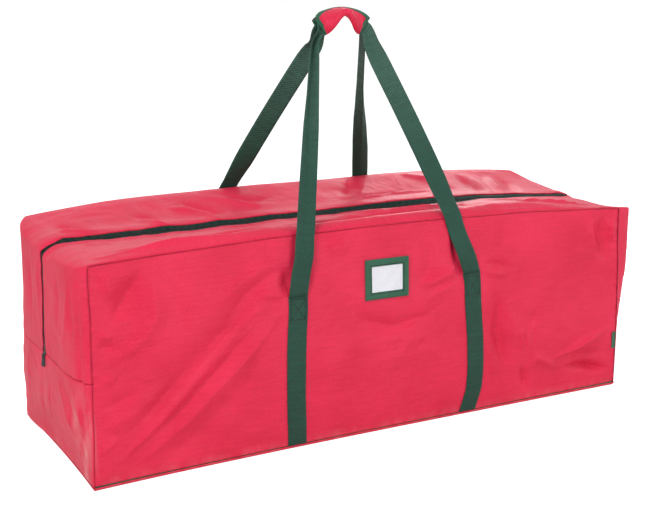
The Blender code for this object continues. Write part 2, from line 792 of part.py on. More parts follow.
def seam_pieces(bag):
    """The tag in the right front seam, and the bindings of the seams inside the bottom."""
    high = HALF_LENGTH - TAG_INSET
    bag.sheet(
        "side_tag",
        lambda x, z: on_face(x, z, FRONT, LAY_GAP + CLOTH),
        [high - TAG_WIDTH, high], steps(TAG_FOOT, TAG_FOOT + TAG_HEIGHT, 2),
        CLOTH, WEB_LOOK, (0, FRONT, 0),
    )
    foot = CLOTH + SEAM_GAP
    top = foot + BINDING_HEIGHT
    out_x, out_y = HALF_LENGTH - CLOTH - SEAM_GAP, HALF_DEPTH - CLOTH - SEAM_GAP
    for side, name in SIDE_NAMES.items():
        ys = sorted((side * (out_y - BINDING_THICKNESS), side * out_y))
        bag.block(f"inner_binding_{name}", (-out_x, ys[0], foot), (out_x, ys[1], top), WEB_LOOK)
    within = out_y - BINDING_THICKNESS - SEAM_GAP
    for end, name in END_NAMES.items():
        xs = sorted((end * (out_x - BINDING_THICKNESS), end * out_x))
        bag.block(f"inner_binding_{name}", (xs[0], -within, foot), (xs[1], within, top), WEB_LOOK)


def joint_axes(bag):
    """The slider on its track, and the hinge lines of the wrap, the handles and the lids."""
    bag.hang(
        "zip_slider_axis", (TRACK_X, 0, SLIDER_MIDDLE),
        ["slider_body", "slider_bail", "zip_pull_axis"],
    )
    ends = ["left", "right", "edge"]
    bag.hang(
        "wrap_flap_axis", (GRIP_X, -WRAP_HINGE_OUT, GRIP_Z - WRAP_HINGE_DROP),
        ["wrap_flap_pad", "hook_strip"] + [f"wrap_flap_binding_{end}" for end in ends],
    )
    carried = {
        FRONT: [],
        BACK: ["grip_pad", "grip_fold", "loop_strip", "wrap_flap_axis"]
        + [f"grip_pad_binding_{end}" for end in ends],
    }
    for side, name in SIDE_NAMES.items():
        off = LAY_GAP + WEB_THICKNESS
        strap_face = on_face(STRAP_SPACING / 2, STITCH_TOP, side, off)
        bag.hang(
            f"{name}_handle_axis", (0, strap_face.y, strap_face.z),
            [f"{name}_handle_web"] + carried[side],
        )
        edge = side * (HALF_DEPTH - CLOTH - SEAM_GAP)
        bag.hang(
            f"{name}_lid_axis", (0, edge, top_height(LID_HALF, edge) - CLOTH),
            [f"top_{name}_flap", f"top_zip_tape_{name}", f"top_zip_coil_{name}"],
        )


def main():
    clear_scene()
    bag = Bag()
    bottom_panel(bag)
    long_panels(bag)
    end_panels(bag)
    end_gussets(bag)
    lids(bag)
    zip_fastener(bag)
    zip_stops(bag)
    zip_slider(bag)
    zip_pull(bag)
    sewn_straps(bag)
    box_stitches(bag)
    handles(bag)
    grip_wrap(bag)
    label_pocket(bag)
    seam_pieces(bag)
    joint_axes(bag)


main()
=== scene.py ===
"""Looks of the soft storage bag: cloth body, zip, webbing handles with their wrap, card pocket."""

import math

import bmesh
import bpy
import numpy as np
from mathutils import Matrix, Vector

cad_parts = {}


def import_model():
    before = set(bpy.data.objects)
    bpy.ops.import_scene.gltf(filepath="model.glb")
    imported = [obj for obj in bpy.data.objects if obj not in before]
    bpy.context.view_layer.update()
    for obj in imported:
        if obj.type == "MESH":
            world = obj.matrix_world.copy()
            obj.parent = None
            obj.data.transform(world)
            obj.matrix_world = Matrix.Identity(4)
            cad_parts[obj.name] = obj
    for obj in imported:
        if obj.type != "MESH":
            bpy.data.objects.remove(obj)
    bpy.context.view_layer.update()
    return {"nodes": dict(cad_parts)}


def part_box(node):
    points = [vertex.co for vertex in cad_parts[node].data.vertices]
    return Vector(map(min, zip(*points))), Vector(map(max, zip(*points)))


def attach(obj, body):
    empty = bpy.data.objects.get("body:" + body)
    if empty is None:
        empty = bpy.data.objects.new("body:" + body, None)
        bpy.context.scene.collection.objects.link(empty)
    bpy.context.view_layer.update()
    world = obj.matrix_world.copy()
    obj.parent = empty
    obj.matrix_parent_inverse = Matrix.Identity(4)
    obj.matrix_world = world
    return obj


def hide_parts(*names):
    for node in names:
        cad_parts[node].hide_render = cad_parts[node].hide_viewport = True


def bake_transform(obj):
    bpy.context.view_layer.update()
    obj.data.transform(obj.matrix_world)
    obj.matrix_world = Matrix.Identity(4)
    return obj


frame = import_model()

FRONT, BACK = -1, 1
LEFT, RIGHT = -1, 1
SIDE_NAMES = {FRONT: "front", BACK: "back"}
END_NAMES = {LEFT: "left", RIGHT: "right"}

# Stuffed body, as the frame has it
HALF_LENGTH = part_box("bottom_panel")[1].x
HALF_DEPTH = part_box("bottom_panel")[1].y
HEIGHT = 0.400
CLOTH = 0.0010
LIP = 0.0056
# The top seam of each long panel rises in a crown, of a height and power, over a lift
CROWN = {FRONT: (0.010, 2), BACK: (0.021, 4)}
LIFT = {FRONT: 0.0, BACK: 0.003}
ROLL = {FRONT: 0.016, BACK: 0.007}
BULGE = {FRONT: 0.024, BACK: 0.030}
END_BULGE = 0.021
END_RISE = 0.12
TOP_DIP = 0.004
SEAM_RADIUS = 0.006
ZIP_RADIUS = {LEFT: 0.024, RIGHT: 0.014}
MID_SEAM = 0.189
GROOVE_WIDTH = 0.0030
GROOVE_DEPTH = 0.0034
ZIP_SLOPE = 0.42
ZIP_SLOPE_REACH = 0.034
RIGHT_DROOP = 0.014
PUFF_LOSS = 0.0012

# Webbing
WEB_WIDTH = 0.038
WEB_THICKNESS = 0.0019
WEB_OFF = 0.0006
STITCH_TOP = 0.296
STITCH_BOX = 0.038
LEG_BLEND = 0.034


def smooth(t):
    t = np.clip(t, 0.0, 1.0)
    return t * t * (3 - 2 * t)


def bump(t):
    """A round hump: 1 at 0, fading to nothing at 1 and beyond."""
    return smooth(1 - np.abs(t))


# Relief of the cloth

NOISE_SIZE = 64


def noise(p, q, seed):
    """Gradient noise over a plane, about -1 to 1, the same each run."""
    turns = np.random.default_rng(seed).uniform(0, 2 * math.pi, (NOISE_SIZE, NOISE_SIZE))
    p, q = np.broadcast_arrays(np.asarray(p, float), np.asarray(q, float))
    column, row = np.floor(p).astype(int), np.floor(q).astype(int)
    right, up = p - column, q - row

    def corner(i, j):
        turn = turns[(column + i) % NOISE_SIZE, (row + j) % NOISE_SIZE]
        return np.cos(turn) * (right - i) + np.sin(turn) * (up - j)

    fade, rise = smooth(right), smooth(up)
    low = corner(0, 0) * (1 - fade) + corner(1, 0) * fade
    high = corner(0, 1) * (1 - fade) + corner(1, 1) * fade
    return 1.5 * (low * (1 - rise) + high * rise)


def crumple(p, q, scale, seed):
    """Flat facets that meet in soft creases, as coated cloth creases."""
    bent = noise(p / scale / 2, q / scale / 2, seed + 1) * 0.6
    sharp = 1 - 2 * np.abs(noise(p / scale + bent, q / scale - bent, seed))
    return sharp - 0.3


def fold(p, q, route, width, height, fade=0.40):
    """One fold of the cloth along a route, higher than the cloth if height is positive."""
    best = np.full(np.shape(p), np.inf)
    along = np.zeros(np.shape(p))
    lengths = [math.dist(a, b) for a, b in zip(route, route[1:])]
    done, whole = 0.0, sum(lengths)
    for (a, b), length in zip(zip(route, route[1:]), lengths):
        dx, dy = (b[0] - a[0]) / length, (b[1] - a[1]) / length
        reach = np.clip((p - a[0]) * dx + (q - a[1]) * dy, 0, length)
        away = np.hypot(p - a[0] - reach * dx, q - a[1] - reach * dy)
        near = away < best
        best = np.where(near, away, best)
        along = np.where(near, (done + reach) / whole, along)
        done += length
    ends = smooth(along / fade) * smooth((1 - along) / fade)
    spread = width * (0.35 + 0.65 * ends)
    return height * ends * np.exp(-((best / spread) ** 1.5))


def dent(p, q, place, size, depth):
    """A round dent, or a puff if depth is negative."""
    away = np.hypot((p - place[0]) / size[0], (q - place[1]) / size[1])
    return -depth * np.exp(-(away**2))


# In mm. Each fold: its route over the face, its width and its height above the cloth.
# Each dent: its place, its half sizes and its depth.
FRONT_FOLDS = [
    ([(-552, 24), (-493, 70), (-445, 115), (-396, 163), (-351, 210),
      (-306, 252), (-264, 286), (-223, 303)], 10, 6.9),
    ([(-519, 18), (-467, 49), (-412, 91), (-369, 130), (-328, 166),
      (-283, 209), (-241, 250), (-216, 291)], 11, 7.5),
    ([(-535, 28), (-448, 97), (-382, 152), (-321, 209), (-269, 256),
      (-226, 294)], 6, -4.4),
    ([(-544, 73), (-495, 103), (-441, 150), (-381, 205), (-325, 254),
      (-271, 316), (-217, 342)], 26, -7.5),
    ([(-470, 15), (-404, 57), (-338, 112), (-282, 166), (-241, 216)], 24, -4.4),
    ([(-202, 353), (-250, 336), (-292, 309), (-330, 265)], 10, -3.2),
    ([(-200, 366), (-251, 356), (-304, 333), (-345, 294)], 12, 3.2),
    ([(-270, 292), (-255, 308), (-206, 298)], 7, 3.2),
    ([(-463, 382), (-457, 337), (-457, 296), (-475, 264), (-512, 237),
      (-556, 220)], 17, 6.2),
    ([(-478, 386), (-494, 352), (-516, 318), (-540, 282)], 19, -10.0),
    ([(-557, 385), (-540, 367), (-534, 346), (-549, 333)], 12, 4.4),
    ([(-566, 268), (-549, 272), (-529, 263)], 6, 3.5),
    ([(-567, 253), (-547, 252), (-527, 242)], 7, -3.8),
    ([(-565, 194), (-542, 192), (-524, 201)], 7, 3.2),
    ([(-567, 96), (-516, 120), (-468, 151), (-425, 181)], 18, 4.5),
    ([(-565, 141), (-520, 150), (-488, 173)], 10, -2.8),
    ([(-568, 55), (-549, 74), (-522, 88)], 9, 3.0),
    ([(-422, 364), (-420, 313), (-402, 247)], 24, -3.2),
    ([(166, 324), (130, 302), (94, 292), (55, 288)], 10, 6.5),
    ([(164, 304), (129, 284), (97, 279)], 9, -3.3),
    ([(162, 286), (114, 272), (79, 254)], 9, 5.0),
    ([(69, 383), (97, 347), (91, 312), (59, 292)], 13, -3.8),
    ([(-74, 282), (-52, 233), (9, 213), (79, 223), (136, 252)], 15, -8.0),
    ([(-130, 369), (-102, 381), (-67, 372)], 14, 3.5),
    ([(20, 192), (23, 159)], 6, -2.4),
    ([(83, 183), (66, 159)], 6, -2.4),
    ([(-26, 87), (5, 140), (62, 186)], 14, 2.7),
    ([(207, 299), (239, 293), (281, 282)], 6, 4.4),
    ([(218, 314), (255, 307), (289, 296)], 7, -4.6),
    ([(231, 274), (256, 221), (255, 169), (272, 120), (295, 59)], 15, -11.0),
    ([(217, 201), (237, 126), (257, 55)], 12, 3.2),
    ([(320, 186), (314, 147), (323, 109)], 5, 4.6),
    ([(334, 167), (330, 114)], 4, 3.8),
    ([(343, 205), (340, 166)], 7, -3.4),
    ([(277, 231), (295, 176), (295, 123)], 16, 4.2),
    ([(333, 76), (358, 96), (407, 70), (401, 54)], 9, 8.0),
    ([(317, 93), (330, 56), (341, 22)], 8, -7.6),
    ([(393, 85), (451, 97), (514, 119), (561, 134)], 8, 9.5),
    ([(421, 61), (489, 56), (568, 35)], 10, -13.0),
    ([(409, 91), (478, 82), (548, 81)], 10, -7.5),
    ([(508, 387), (495, 356), (512, 321), (544, 292)], 9, 6.5),
    ([(531, 392), (524, 352), (536, 306), (554, 270)], 20, -11.5),
    ([(545, 285), (528, 247), (524, 194)], 16, 1.6),
    ([(570, 381), (555, 357), (562, 316)], 9, 6.8),
]
FRONT_DENTS = [
    ((-171, 335), (15, 28), 8), ((158, 342), (11, 38), 13.5),
    ((-206, 326), (12, 22), 13), ((170, 300), (9, 18), 8),
    ((20, 130), (140, 90), -3), ((400, 230), (90, 80), -2.6),
]
TOP_FOLDS = [
    ([(-558, 102), (-540, 40), (-505, 19), (-454, 33)], 9, 4.6),
    ([(-541, 121), (-518, 67), (-472, 51)], 12, -3.8),
    ([(-400, 76), (-377, 57), (-358, 20), (-330, 9)], 9, 4.0),
    ([(-398, 94), (-362, 80), (-340, 44)], 10, -3.0),
    ([(-312, 122), (-272, 90), (-250, 48), (-238, 5)], 12, 6.5),
    ([(-278, 138), (-232, 97), (-194, 42)], 16, -6.5),
    ([(-211, 160), (-168, 113), (-124, 81), (-66, 92)], 13, 4.4),
    ([(-175, 140), (-130, 111), (-66, 119)], 10, -3.0),
    ([(-573, -42), (-574, -120), (-558, -165), (-520, -180)], 9, 3.6),
    ([(-570, -83), (-565, -150), (-545, -190)], 8, -2.8),
    ([(-563, -42), (-519, -73), (-449, -44)], 9, 2.6),
    ([(29, 35), (121, 54), (235, 67), (321, 65)], 7, 4.2),
    ([(27, 57), (135, 78), (250, 91)], 10, -2.8),
    ([(125, 77), (118, 47)], 3, 2.2),
    ([(110, 77), (101, 45)], 3, 1.8),
    ([(126, 184), (111, 131), (60, 78)], 16, -4.0),
    ([(247, 176), (313, 127), (354, 54)], 14, 3.4),
    ([(480, 168), (455, 94), (428, 9)], 9, 5.5),
    ([(499, 157), (492, 98), (465, 13)], 11, -5.0),
    ([(399, 171), (395, 91), (381, 16)], 12, -4.4),
    ([(432, 171), (419, 90), (400, 15)], 8, 3.2),
    ([(293, -24), (394, -51), (490, -137)], 8, 2.6),
    ([(57, -104), (183, -77), (353, -107)], 10, -2.6),
    ([(-8, -8), (69, -23), (161, -29), (234, -32)], 6, 3.0),
    ([(201, -184), (295, -186), (408, -189)], 9, -2.4),
    ([(-560, -178), (-500, -174), (-400, -178), (-260, -182)], 6, 6.0),
    ([(-540, -163), (-460, -158), (-330, -165), (-200, -166)], 7, -6.5),
    ([(-160, -150), (0, -145), (150, -152), (320, -150)], 7, 4.8),
    ([(-220, -170), (0, -166), (180, -171)], 6, -5.5),
    ([(300, -140), (420, -150), (530, -170)], 6, 5.5),
]
END_FOLDS = [
    ([(-140, 381), (-147, 330), (-127, 273), (-94, 216)], 9, 3.2),
    ([(-85, 380), (-97, 319), (-82, 251)], 11, -2.6),
    ([(-160, 363), (-150, 308), (-157, 247)], 8, -3.2),
    ([(-193, 372), (-189, 300), (-190, 200), (-193, 80)], 5, 4.5),
    ([(-180, 360), (-175, 290), (-177, 190), (-182, 70)], 5, -4.8),
    ([(-146, 375), (-185, 393), (-216, 405)], 5, 3.0),
    ([(-164, 363), (-189, 366), (-208, 366)], 6, -3.6),
    ([(-31, 182), (-20, 99), (6, 13)], 5, -2.0),
    ([(-63, 183), (-109, 128), (-157, 59)], 8, 3.8),
    ([(-100, 180), (-141, 127), (-178, 53)], 8, -3.4),
    ([(-146, 177), (-169, 124), (-192, 65)], 7, 3.2),
    ([(-146, 163), (-171, 106), (-195, 55)], 6, -2.8),
    ([(88, 387), (88, 303), (79, 220)], 13, -3.4),
    ([(30, 388), (33, 315), (31, 221)], 9, 2.6),
    ([(114, 170), (114, 117), (145, 51)], 9, 3.2),
    ([(29, 176), (19, 122), (58, 31)], 11, -3.0),
]
# The back isn't in the photograph. It has every second fold of the front, turned round, but
# none of the front's first folds, which cross its low left corner.
CORNER_FOLDS = 8
BACK_FOLDS = [
    ([(-x, z) for x, z in route], width, height) for route, width, height in FRONT_FOLDS[CORNER_FOLDS::2]
]


MM = 0.001
FOLD_GAIN = 1.25
TOP_GAIN = 1.25
END_GAIN = 0.75
# How far in from a seam the folds fade
FOLD_MARGIN = 0.022
# Crumpling from coarse to fine: size of its facets, squeeze along both axes, height, seed's step
CRUMPLES = [(0.120, 1.0, 1.0, 0.0012, 0), (0.046, 0.7, 1.0, 0.0008, 5), (0.023, 1.0, 0.8, 0.00030, 7)]
SWELL_SIZE = (0.16, 0.12)
SWELL_HEIGHT = 0.0016


def relief(p, q, folds, dents, seed):
    """Height of the cloth's creases, folds and dents over a face, before its stuffed form."""
    total = sum(
        crumple(p * squeeze_p, q * squeeze_q, size, seed + step) * height
        for size, squeeze_p, squeeze_q, height, step in CRUMPLES
    )
    total = total + noise(p / SWELL_SIZE[0], q / SWELL_SIZE[1], seed + 9) * SWELL_HEIGHT
    for route, width, height in folds:
        route = [(across * MM, up * MM) for across, up in route]
        total = total + fold(p, q, route, width * MM, height * MM * FOLD_GAIN)
    for place, size, depth in dents:
        total = total + dent(p, q, [v * MM for v in place], [v * MM for v in size], depth * MM)
    return total


STRAP_ROUTES = {
    LEFT: ([0, 0.058, 0.10, 0.14, 0.19, 0.235, 0.303],
           [-0.182, -0.187, -0.191, -0.193, -0.194, -0.1926, -0.187]),
    RIGHT: ([0, 0.020, 0.036, 0.054, 0.085, 0.118, 0.186, 0.258, 0.30],
            [0.196, 0.200, 0.2035, 0.2060, 0.205, 0.2035, 0.1985, 0.192, 0.189]),
}
BACK_STRAP_X = 0.191


def strap_middle(z, side, end):
    """Where a sewn strap's middle line runs: a little crooked, as it was sewn."""
    if side == BACK:
        return end * BACK_STRAP_X + 0.004 * np.sin(z * 16 + end)
    heights, places = STRAP_ROUTES[end]
    return np.interp(z, heights, places)


# Body of the bag, face by face

def seam_height(x, side):
    """Height of the top seam of a long panel, which rounds down into the end seams."""
    straight = HALF_LENGTH - SEAM_RADIUS
    past = np.clip(np.abs(x) - straight, 0, SEAM_RADIUS)
    rise, power = CROWN[side]
    crown = LIFT[side] + rise * (1 - np.clip(np.abs(x) / straight, 0, 1) ** power)
    return HEIGHT + crown - SEAM_RADIUS + np.sqrt(SEAM_RADIUS**2 - past**2)


def long_face(x, z, side, off=0.0):
    """Places on a long face, some way off it, with the flat that the card pocket gives it."""
    points = warp(x, side * (HALF_DEPTH + face_stand(x, z, side) + off), z)
    if side == FRONT:
        level, slope_x, slope_z = LABEL_PLANE
        flat = level + slope_x * (points[..., 0] - LABEL_X) + slope_z * (points[..., 2] - LABEL_Z) - off
        aside = np.abs(x - LABEL_X - (z - LABEL_Z) * LABEL_LEAN) / LABEL_HALF[0]
        under = smooth((1.3 - np.maximum(aside, np.abs(z - LABEL_Z) / LABEL_HALF[1])) / 0.3)
        points[..., 1] += (flat - points[..., 1]) * under
    return points


# A sewn strap presses most of the folds flat and sinks in a little: half width, share, depth
STRAP_PRESS = (0.026, 0.75, 0.0012)


def face_stand(x, z, side):
    """How far a long face stands out: an arch, and folds that die out towards its seams."""
    edge = seam_height(x, side)
    along = (1 - np.clip(np.abs(x) / HALF_LENGTH, 0, 1) ** 4) ** 2
    up = np.clip(np.abs(z / edge * 2 - 1), 0, 1)
    stand = BULGE[side] * along * (1 - up**2) - PUFF_LOSS
    margin = np.minimum(np.minimum(HALF_LENGTH - np.abs(x), edge - z), z - LIP)
    folds, dents = (FRONT_FOLDS, FRONT_DENTS) if side == FRONT else (BACK_FOLDS, [])
    shape = relief(x, z, folds, dents, 11 if side == FRONT else 31)
    half_width, share, depth = STRAP_PRESS
    for end in END_NAMES:
        away = (x - strap_middle(z, side, end)) / half_width
        groove = np.exp(-(away**4)) * smooth((STITCH_TOP + 0.02 - z) / 0.03)
        shape = shape * (1 - share * groove) - depth * groove
    stand = stand + shape * smooth(margin / FOLD_MARGIN)
    stand = stand + pucker(z, HALF_LENGTH - np.abs(x), 13) + 0.6 * pucker(x, edge - z, 14)
    return stand - GROOVE_DEPTH * groove_at(margin)


PUCKER_HEIGHT = 0.0016
PUCKER_LENGTH = 0.014
PUCKER_REACH = 0.020


def pucker(along, margin, seed):
    """Short ripples where the stitching draws the cloth in along a seam."""
    ripple = noise(along / PUCKER_LENGTH, margin / 0.06, seed)
    return PUCKER_HEIGHT * ripple * np.exp(-((margin / PUCKER_REACH) ** 2)) * smooth(margin / 0.006)


def groove_at(margin):
    return np.clip(1 - margin / GROOVE_WIDTH, 0, 1) ** 1.5


# The ear of slack cloth at the right end's front upper corner: place, half width, height
EAR_Y, EAR_HALF, EAR_STAND = -0.176, 0.034, 0.030


def end_stand(y, z, end):
    """How far an end stands out: full in the middle and drawn in at its seams."""
    t = np.clip(np.abs(y) / HALF_DEPTH, 0, 1)
    rise = smooth(z / END_RISE)
    back = 0.4 * smooth(y / 0.2) * (1 - rise)
    stand = END_BULGE * (1 - t**6) * (rise + back)
    margin = HALF_DEPTH - np.abs(y)
    shape = relief(y * -end, z, END_FOLDS, [], 53 + end)
    stand = stand + END_GAIN * shape * smooth(margin / 0.020) * smooth(z / 0.02)
    if end == RIGHT:
        ear = smooth((z - 0.08) / 0.26) * np.exp(-(((y - EAR_Y) / EAR_HALF) ** 2))
        stand = stand + EAR_STAND * ear * smooth(margin / 0.010)
    return stand + pucker(z, margin, 15 + end)


def top_height(x, y):
    """Height of the top: a roll inside each long seam, and a slope across the zip."""
    t = np.clip(np.abs(y) / HALF_DEPTH, 0, 1)
    fade = 1 - np.clip(np.abs(x) / HALF_LENGTH, 0, 1) ** 4
    valley = HEIGHT - TOP_DIP
    height = valley
    for side in SIDE_NAMES:
        here = (y < 0) == (side == FRONT)
        climb = (seam_height(x * 0.97, side) - valley) * t**1.5
        roll = ROLL[side] * fade * np.sin(math.pi * t**3.5)
        height = height + np.where(here, climb + roll, 0)
    slope = ZIP_SLOPE * y * np.exp(-((y / ZIP_SLOPE_REACH) ** 2))
    height = height + slope * (0.35 + 0.65 * smooth((0.42 - x) / 0.2))
    shape = relief(x, y, TOP_FOLDS, [], 71) * TOP_GAIN
    margin = np.minimum(HALF_DEPTH - np.abs(y), np.abs(y) * 1.6)
    height = height + shape * smooth(margin / FOLD_MARGIN) * smooth(fade * 6)
    right = smooth((x - 0.30) / 0.27) * (1 - t**7)
    return height - RIGHT_DROOP * right


def corner_radius(y, end):
    t = np.clip(np.abs(y) / HALF_DEPTH, 0, 1)
    return SEAM_RADIUS + (ZIP_RADIUS[end] - SEAM_RADIUS) * (1 - t**2)


def ring(end, s, y, depth=0.0):
    """The zipped strip round the bag: s from 0 to 1 climbs an end from its mid seam, to 2
    turns over the corner, and to 3 runs along the top to the middle of the bag."""
    s, y = np.broadcast_arrays(np.asarray(s, float), np.asarray(y, float))
    radius = corner_radius(y, end)
    flat = HALF_LENGTH - radius
    shoulder = top_height(end * flat, y)
    turn = np.clip(s - 1, 0, 1) * math.pi / 2
    out, up = np.cos(turn), np.sin(turn)
    climb = MID_SEAM + np.clip(s, 0, 1) * (shoulder - radius - MID_SEAM)
    z = np.where(s < 1, climb, shoulder - radius + radius * up)
    gone = (s - 1.5) if end == RIGHT else (s - 1)
    stand = end_stand(y, z, end) * (1 - smooth(gone))
    x = flat * (1 - np.clip(s - 2, 0, 1)) + np.where(s < 2, radius * out, 0)
    top = top_height(end * x, y)
    z = np.where(s > 2, top, z)
    x = x + stand
    return warp(end * (x - depth * out), y, z - depth * up)


# How slack cloth shifts the bag's corners: which corner, as signs of x, y and z, and by how much
CORNER_PULLS = [
    ((RIGHT, FRONT, 1), (-0.008, 0.0, -0.014)), ((LEFT, BACK, -1), (-0.008, 0.002, 0.0)),
    ((LEFT, FRONT, 1), (-0.002, -0.002, -0.004)), ((RIGHT, FRONT, -1), (0.001, 0.0, 0.0)),
    ((LEFT, BACK, 1), (0.006, 0.0, 0.001)), ((RIGHT, BACK, 1), (0.002, 0.0, -0.001)),
    ((LEFT, FRONT, -1), (-0.012, -0.022, 0.0)),
]
WANDER, WANDER_UP = 0.0022, 0.0016


def warp(x, y, z):
    """Slack of the whole bag: corners pulled out of square and seams that wander."""
    x, y, z = np.broadcast_arrays(*(np.asarray(v, float) for v in (x, y, z)))
    moved = np.stack([x, y, z], -1)
    level = z / HEIGHT
    for (ex, ey, ez), pull in CORNER_PULLS:
        weight = np.clip((1 + ex * x / HALF_LENGTH) / 2, 0, 1) ** 4
        weight = weight * np.clip((1 + ey * y / HALF_DEPTH) / 2, 0, 1) ** 2
        weight = weight * np.clip((1 + ez * (2 * level - 1)) / 2, 0, 1) ** 2
        moved = moved + weight[..., None] * np.array(pull)
    free = smooth(level / 0.3)
    moved[..., 0] += noise(y / 0.13 + z / 0.09, x / 0.5, 3) * WANDER * free
    moved[..., 1] += noise(x / 0.17, z / 0.12 + y / 0.2, 4) * WANDER * free
    moved[..., 2] += noise(x / 0.15, y / 0.16 + 3.5, 5) * WANDER_UP * free * smooth(level)
    return moved


# Meshes

def placed(name, data):
    """A new object in the scene."""
    obj = bpy.data.objects.new(name, data)
    bpy.context.scene.collection.objects.link(obj)
    return obj


def unit(vectors):
    return vectors / np.linalg.norm(vectors, axis=-1)[..., None]


def distances(line):
    """How far along a line each of its points lies."""
    return np.concatenate([[0], np.cumsum(np.linalg.norm(np.diff(line, axis=0), axis=1))])


def pairs(u, v):
    return np.stack(np.broadcast_arrays(u, v), -1)


def grid_object(name, points, lay, out, thickness=0.0, closed=False):
    """A sheet through a grid of points. lay holds the flat cloth's own metres at each."""
    rows, columns = points.shape[:2]
    index = np.arange(rows * columns).reshape(rows, columns)
    if closed:
        index = np.concatenate([index, index[:, :1]], axis=1)
    a, b, c, d = index[:-1, :-1], index[:-1, 1:], index[1:, 1:], index[1:, :-1]
    faces = np.stack([a, b, c, d], -1).reshape(-1, 4)
    flat = points.reshape(-1, 3)
    across, along = flat[faces[:, 1]] - flat[faces[:, 0]], flat[faces[:, 3]] - flat[faces[:, 0]]
    if out is not None and np.cross(across, along).sum(0) @ np.array(out, float) < 0:
        faces = faces[:, ::-1]
    mesh = bpy.data.meshes.new(name)
    mesh.from_pydata(flat.tolist(), [], faces.tolist())
    write_lay(mesh, lay)
    mesh.shade_smooth()
    obj = placed(name, mesh)
    if thickness:
        solid = obj.modifiers.new("Solidify", "SOLIDIFY")
        solid.thickness = thickness
        solid.offset = -1.0
    return obj


def write_lay(mesh, lay):
    values = np.zeros((len(mesh.vertices), 3), np.float32)
    values[:, :2] = np.asarray(lay).reshape(-1, 2)
    mesh.attributes.new("lay", "FLOAT_VECTOR", "POINT").data.foreach_set("vector", values.ravel())


# Writes how worn each point is into the lay's third part; this also carries painted light: painted shade
# in the seams and painted sheen on the handles.
def set_wear_and_painted_light(obj, wear_and_painted_light):
    data = obj.data.attributes["lay"].data
    values = np.zeros(len(data) * 3, np.float32)
    data.foreach_get("vector", values)
    values[2::3] = np.ravel(wear_and_painted_light)
    data.foreach_set("vector", values)


def own_lengths(points):
    """The cloth's own metres at each point of a grid, measured along its middle lines."""
    rows, columns = points.shape[:2]
    return pairs(distances(points[rows // 2])[None, :], distances(points[:, columns // 2])[:, None])


def finish_mesh(obj):
    """Apply the modifiers, so that the mesh holds its final shape."""
    graph = bpy.context.evaluated_depsgraph_get()
    mesh = bpy.data.meshes.new_from_object(obj.evaluated_get(graph))
    obj.modifiers.clear()
    obj.data = mesh
    mesh.set_sharp_from_angle(angle=math.radians(55))
    return obj


def close_to_edges(low, high, count, fine=(0.0006, 0.0022, 0.005)):
    """Steps across a panel, with extra ones in the groove along each edge."""
    inner = np.linspace(low + fine[-1], high - fine[-1], count)
    near = [low, *(low + f for f in fine[:-1])]
    far = [*(high - f for f in fine[:-1][::-1]), high]
    return np.concatenate([near, inner, far])


def settle(obj, body, slot, nodes=(), blend=None, look=None):
    """Give a piece its material, its body and the nodes it stands for."""
    obj.data.materials.clear()
    obj.data.materials.append(LOOKS[look or slot])
    if blend:
        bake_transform(obj)
    else:
        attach(obj, body)
    if nodes:
        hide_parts(*nodes)
    return obj


def sheet(name, points, out, thickness, lengths=None):
    """A thin sheet with its thickness, whose cloth is measured along the grid if not told."""
    lengths = own_lengths(points) if lengths is None else lengths
    return finish_mesh(grid_object(name, points, lengths, out, thickness))


# Materials

